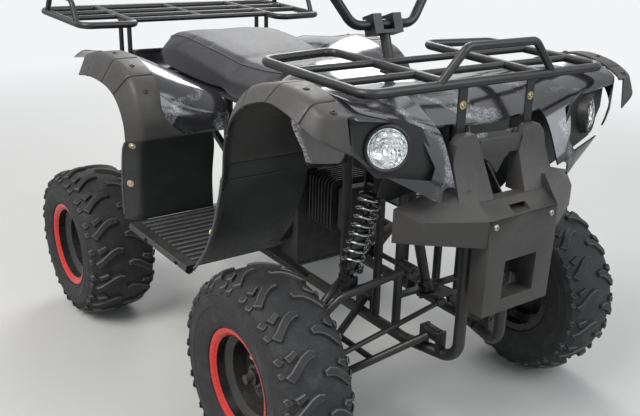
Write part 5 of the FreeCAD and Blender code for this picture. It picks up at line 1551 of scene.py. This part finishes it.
def build_chain():
    """The chain's links round both sprockets, and the teeth of the large one."""
    small, large = 33.0, 94.0
    axle = Vector((AXLE_REAR.x, CHAIN_Y, AXLE_REAR.z))
    run = axle - DRIVER
    along = run.normalized()
    square = Vector((-along.z, 0, along.x))
    if square.z < 0:
        square = -square
    slope = math.asin((large - small) / run.length)
    half = math.pi / 2 - slope
    path = []
    for centre, radius, ahead in ((DRIVER, small, -1), (axle, large, 1)):
        arc = half if ahead < 0 else math.pi - half
        for step in range(25):
            angle = (step / 12 - 1) * arc
            path.append(centre + (along * ahead * math.cos(angle)
                                  + square * ahead * -math.sin(angle)) * radius)
    points = bpy.data.meshes.new("chain_path")
    edges = [(i, (i + 1) % len(path)) for i in range(len(path))]
    points.from_pydata([point * MM for point in path], edges, [])
    length = sum((b - a).length for a, b in zip(path, path[1:] + path[:1]))
    count = round(length / (2 * PITCH))
    links = placed("copies_on_path", link_pair(), "bare_steel", {"Count": count}, points)
    add_piece("chain_links", smooth(links, 35), "chassis", ["bare_steel"], ["chain"])
    teeth = round(TURN * large / PITCH)
    tooth = prism([(-2.6, 84), (2.6, 84), (1.0, 95.5), (-1.0, 95.5)], Vector((0, CHAIN_Y, 0)), (0, 1, 0),
                  2.6)
    ring = ring_of(tooth, teeth, 0.0, (AXLE_REAR.x, 0, AXLE_REAR.z), "bare_steel")
    add_piece("sprocket_teeth", ring, "rear_axle", ["bare_steel"])


def paint_nodes():
    """Give the CAD nodes their finishes, the replaced ones too, apart from tyres and rims."""
    for name, finish in NODE_FINISHES.items():
        node = frame["nodes"][name]
        node.data.materials.clear()
        node.data.materials.append(materials[finish])


# Stage


WHITE = (0.90, 0.91, 0.92, 1)
SKY = (0.86, 0.90, 0.96, 1)
SKY_STRENGTH = 0.42
# distances in metres between which the floor turns white for the eye, and half the floor's width
FLOOR_FADE = (1.6, 4.2)
FLOOR_REACH = 40.0
# name, place, aim, width, power, colour
LIGHTS = (
    ("key", (0.6, -2.6, 3.4), (0, 0, 0.4), 2.2, 120, (1.0, 0.98, 0.95)),
    ("fill", (3.2, 1.2, 2.6), (0.2, 0, 0.4), 2.6, 60, (0.94, 0.97, 1.0)),
    ("rim", (-2.6, 1.8, 2.8), (0, 0, 0.5), 2.0, 70, (1.0, 1.0, 1.0)),
)
# the camera fitted to the photograph: in pixels its size, focal length and centre, then place and angles
PHOTO_SIZE = (640.0, 416.0)
FOCAL = 843.8
CENTRE = (389.5, 217.4)
CAMERA_PLACE = (1.827, -1.214, 1.174)
CAMERA_ANGLES = (139.71, 20.86, 3.33)
SENSOR = 36.0


def camera_axes(yaw, pitch, roll):
    """Right, up and back of a camera, from angles in degrees."""
    yaw, pitch, roll = (math.radians(value) for value in (yaw, pitch, roll))
    ahead = Vector((math.cos(yaw) * math.cos(pitch), math.sin(yaw) * math.cos(pitch), -math.sin(pitch)))
    right = ahead.cross(Vector((0, 0, 1))).normalized()
    upward = right.cross(ahead)
    turned_right = right * math.cos(roll) + upward * math.sin(roll)
    turned_up = upward * math.cos(roll) - right * math.sin(roll)
    return turned_right, turned_up, -ahead


def area_light(name, place, aim, width, power, colour):
    light = bpy.data.lights.new(name, "AREA")
    light.shape = "DISK"
    light.size = width
    light.energy = power
    light.color = colour
    item = bpy.data.objects.new(name, light)
    item.location = place
    item.rotation_mode = "QUATERNION"
    item.rotation_quaternion = (Vector(aim) - Vector(place)).to_track_quat("-Z", "Y")
    scene.collection.objects.link(item)


def light_world(tree):
    """A soft sky lights the object, and the eye, metal and glass see a plain white one."""
    sky = tree.nodes["Background"]
    sky.inputs["Color"].default_value = SKY
    sky.inputs["Strength"].default_value = SKY_STRENGTH
    white = add_node(tree, "ShaderNodeBackground", {"Color": WHITE, "Strength": 1.0})
    ray = add_node(tree, "ShaderNodeLightPath")
    seen = ray.outputs["Is Camera Ray"]
    for label in ("Is Glossy Ray", "Is Transmission Ray"):
        both = add_node(tree, "ShaderNodeMath", links={0: seen, 1: ray.outputs[label]}, operation="MAXIMUM")
        seen = both.outputs[0]
    mixed = add_node(tree, "ShaderNodeMixShader", links={0: seen, 1: sky.outputs[0], 2: white.outputs[0]})
    tree.links.new(mixed.outputs[0], tree.nodes["World Output"].inputs["Surface"])


def make_floor_finish():
    """A pale floor that keeps shadows and turns white with distance, for the eye only."""
    floor = Finish("pale_floor", 1.5)
    floor.set(Base_Color=floor.mix(floor.broad, (0.60, 0.60, 0.58), (0.66, 0.66, 0.64)), Roughness=0.9)
    far = floor.node("ShaderNodeVectorMath", links={0: floor.place()}, operation="LENGTH")
    share = floor.ramp(far.outputs["Value"], *FLOOR_FADE)
    share.node.interpolation_type = "SMOOTHSTEP"
    seen = floor.node("ShaderNodeLightPath").outputs["Is Camera Ray"]
    white = floor.node("ShaderNodeEmission", {"Color": WHITE, "Strength": 1.0})
    mixed = floor.node("ShaderNodeMixShader", links={
        0: floor.times(share, seen), 1: floor.shader.outputs[0], 2: white.outputs[0]})
    floor.tree.links.new(mixed.outputs[0], floor.tree.nodes["Material Output"].inputs["Surface"])


def place_camera():
    """The camera that matches the photograph."""
    wide, tall = PHOTO_SIZE
    camera_data = bpy.data.cameras.new("photo_camera")
    camera_data.sensor_width = SENSOR
    camera_data.lens = FOCAL * SENSOR / wide
    camera_data.shift_x = -(CENTRE[0] - wide / 2) / wide
    camera_data.shift_y = (CENTRE[1] - tall / 2) / wide
    camera = bpy.data.objects.new("photo_camera", camera_data)
    scene.collection.objects.link(camera)
    right, upward, back = camera_axes(*CAMERA_ANGLES)
    place = Vector(CAMERA_PLACE)
    camera.matrix_world = Matrix((
        (right.x, upward.x, back.x, place.x), (right.y, upward.y, back.y, place.y),
        (right.z, upward.z, back.z, place.z), (0, 0, 0, 1)))
    scene.camera = camera


def build_stage():
    scene.view_settings.view_transform = "Standard"
    world = bpy.data.worlds.new("studio")
    scene.world = world
    world.use_nodes = True
    light_world(world.node_tree)
    make_floor_finish()
    reach = FLOOR_REACH / MM
    points = [Vector((a * reach, b * reach, -0.2)) for a, b in ((-1, -1), (1, -1), (1, 1), (-1, 1))]
    mesh = mesh_from("floor", points, [(0, 1, 2, 3)])
    mesh.materials.append(materials["pale_floor"])
    ground = bpy.data.objects.new("studio_floor", mesh)
    scene.collection.objects.link(ground)
    for light in LIGHTS:
        area_light(*light)
    place_camera()


# Operators


class QuadOperator:
    """Makes its pieces and reports that it has finished."""

    bl_options = {"REGISTER", "UNDO"}

    def execute(self, context):
        self.make()
        return {"FINISHED"}


class QUAD_OT_finishes(QuadOperator, bpy.types.Operator):
    """Make the finishes and paint the frame's own nodes."""

    bl_idname = "quad.finishes"
    bl_label = "Finishes"

    def make(self):
        GROUPS["mottle"] = make_mottle_group()
        GROUPS["moulded_grain"] = make_grain_group()
        GROUPS["settled_dust"] = make_dust_group()
        TREES["copies_round_axis"] = make_ring_tree()
        TREES["copies_at_points"] = make_point_tree()
        TREES["wound_spring"] = make_coil_tree()
        TREES["copies_on_path"] = make_path_tree()
        for row in PLAIN_FINISHES:
            make_plain_finish(row)
        make_panel_finish()
        make_gloss_finish()
        make_rubber_finish()
        make_lip_finish()
        make_vinyl_finish()
        make_pad_finish()
        make_lens_finishes()
        paint_nodes()


class QUAD_OT_wheels(QuadOperator, bpy.types.Operator):
    """Make the tyres with their tread and the dished rims."""

    bl_idname = "quad.wheels"
    bl_label = "Wheels"

    def make(self):
        build_wheels()


class QUAD_OT_panels(QuadOperator, bpy.types.Operator):
    """Make the matt flares, leg shields and mudguards."""

    bl_idname = "quad.panels"
    bl_label = "Matt panels"

    def make(self):
        build_panels()


class QUAD_OT_gloss(QuadOperator, bpy.types.Operator):
    """Make the glossy bonnet, tank cover and rear fender."""

    bl_idname = "quad.gloss"
    bl_label = "Gloss bodywork"

    def make(self):
        build_gloss()


class QUAD_OT_bumper(QuadOperator, bpy.types.Operator):
    """Make the bumper."""

    bl_idname = "quad.bumper"
    bl_label = "Bumper"

    def make(self):
        build_bumper()


class QUAD_OT_lamps(QuadOperator, bpy.types.Operator):
    """Make the headlamps and the tail lamp."""

    bl_idname = "quad.lamps"
    bl_label = "Lamps"

    def make(self):
        build_lamps()


class QUAD_OT_seat(QuadOperator, bpy.types.Operator):
    """Make the padded seat and its seams."""

    bl_idname = "quad.seat"
    bl_label = "Seat"

    def make(self):
        build_seat()


class QUAD_OT_controls(QuadOperator, bpy.types.Operator):
    """Make the grips and the bar pad."""

    bl_idname = "quad.controls"
    bl_label = "Controls"

    def make(self):
        build_bar_pad()
        build_grips()


class QUAD_OT_shocks(QuadOperator, bpy.types.Operator):
    """Make the coils and dampers."""

    bl_idname = "quad.shocks"
    bl_label = "Shock absorbers"

    def make(self):
        build_shocks()


class QUAD_OT_small_parts(QuadOperator, bpy.types.Operator):
    """Make bolts, painted edge highlights, the platforms' treads and the chain."""

    bl_idname = "quad.small_parts"
    bl_label = "Bolts, trims and chain"

    def make(self):
        build_bolts()
        build_edge_highlights_and_treads()
        build_chain()


class QUAD_OT_stage(QuadOperator, bpy.types.Operator):
    """Make the floor, lights and camera."""

    bl_idname = "quad.stage"
    bl_label = "Stage"

    def make(self):
        build_stage()


OPERATORS = (QUAD_OT_finishes, QUAD_OT_stage, QUAD_OT_wheels, QUAD_OT_panels, QUAD_OT_gloss, QUAD_OT_bumper,
             QUAD_OT_lamps, QUAD_OT_seat, QUAD_OT_controls, QUAD_OT_shocks, QUAD_OT_small_parts)


class QUAD_PT_sidebar(bpy.types.Panel):
    """The quad bike's pieces, in the order in which they are made."""

    bl_idname = "QUAD_PT_sidebar"
    bl_label = "Quad bike"
    bl_space_type = "VIEW_3D"
    bl_region_type = "UI"
    bl_category = "Quad bike"

    def draw(self, context):
        for group in (context.scene.quad_colours, context.scene.quad_sizes):
            for key in group.bl_rna.properties.keys():
                if key not in ("rna_type", "name"):
                    self.layout.prop(group, key)
        for operator in OPERATORS:
            self.layout.operator(operator.bl_idname)


CLASSES = (QuadColours, QuadSizes) + OPERATORS + (QUAD_PT_sidebar,)


def register():
    for item in CLASSES:
        bpy.utils.register_class(item)
    bpy.types.Scene.quad_colours = PointerProperty(type=QuadColours)
    bpy.types.Scene.quad_sizes = PointerProperty(type=QuadSizes)


def unregister():
    del bpy.types.Scene.quad_colours
    del bpy.types.Scene.quad_sizes
    for item in reversed(CLASSES):
        bpy.utils.unregister_class(item)


def main():
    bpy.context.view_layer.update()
    register()
    for operator in OPERATORS:
        getattr(bpy.ops.quad, operator.bl_idname.split(".")[1])()


if __name__ == "__main__":
    main()
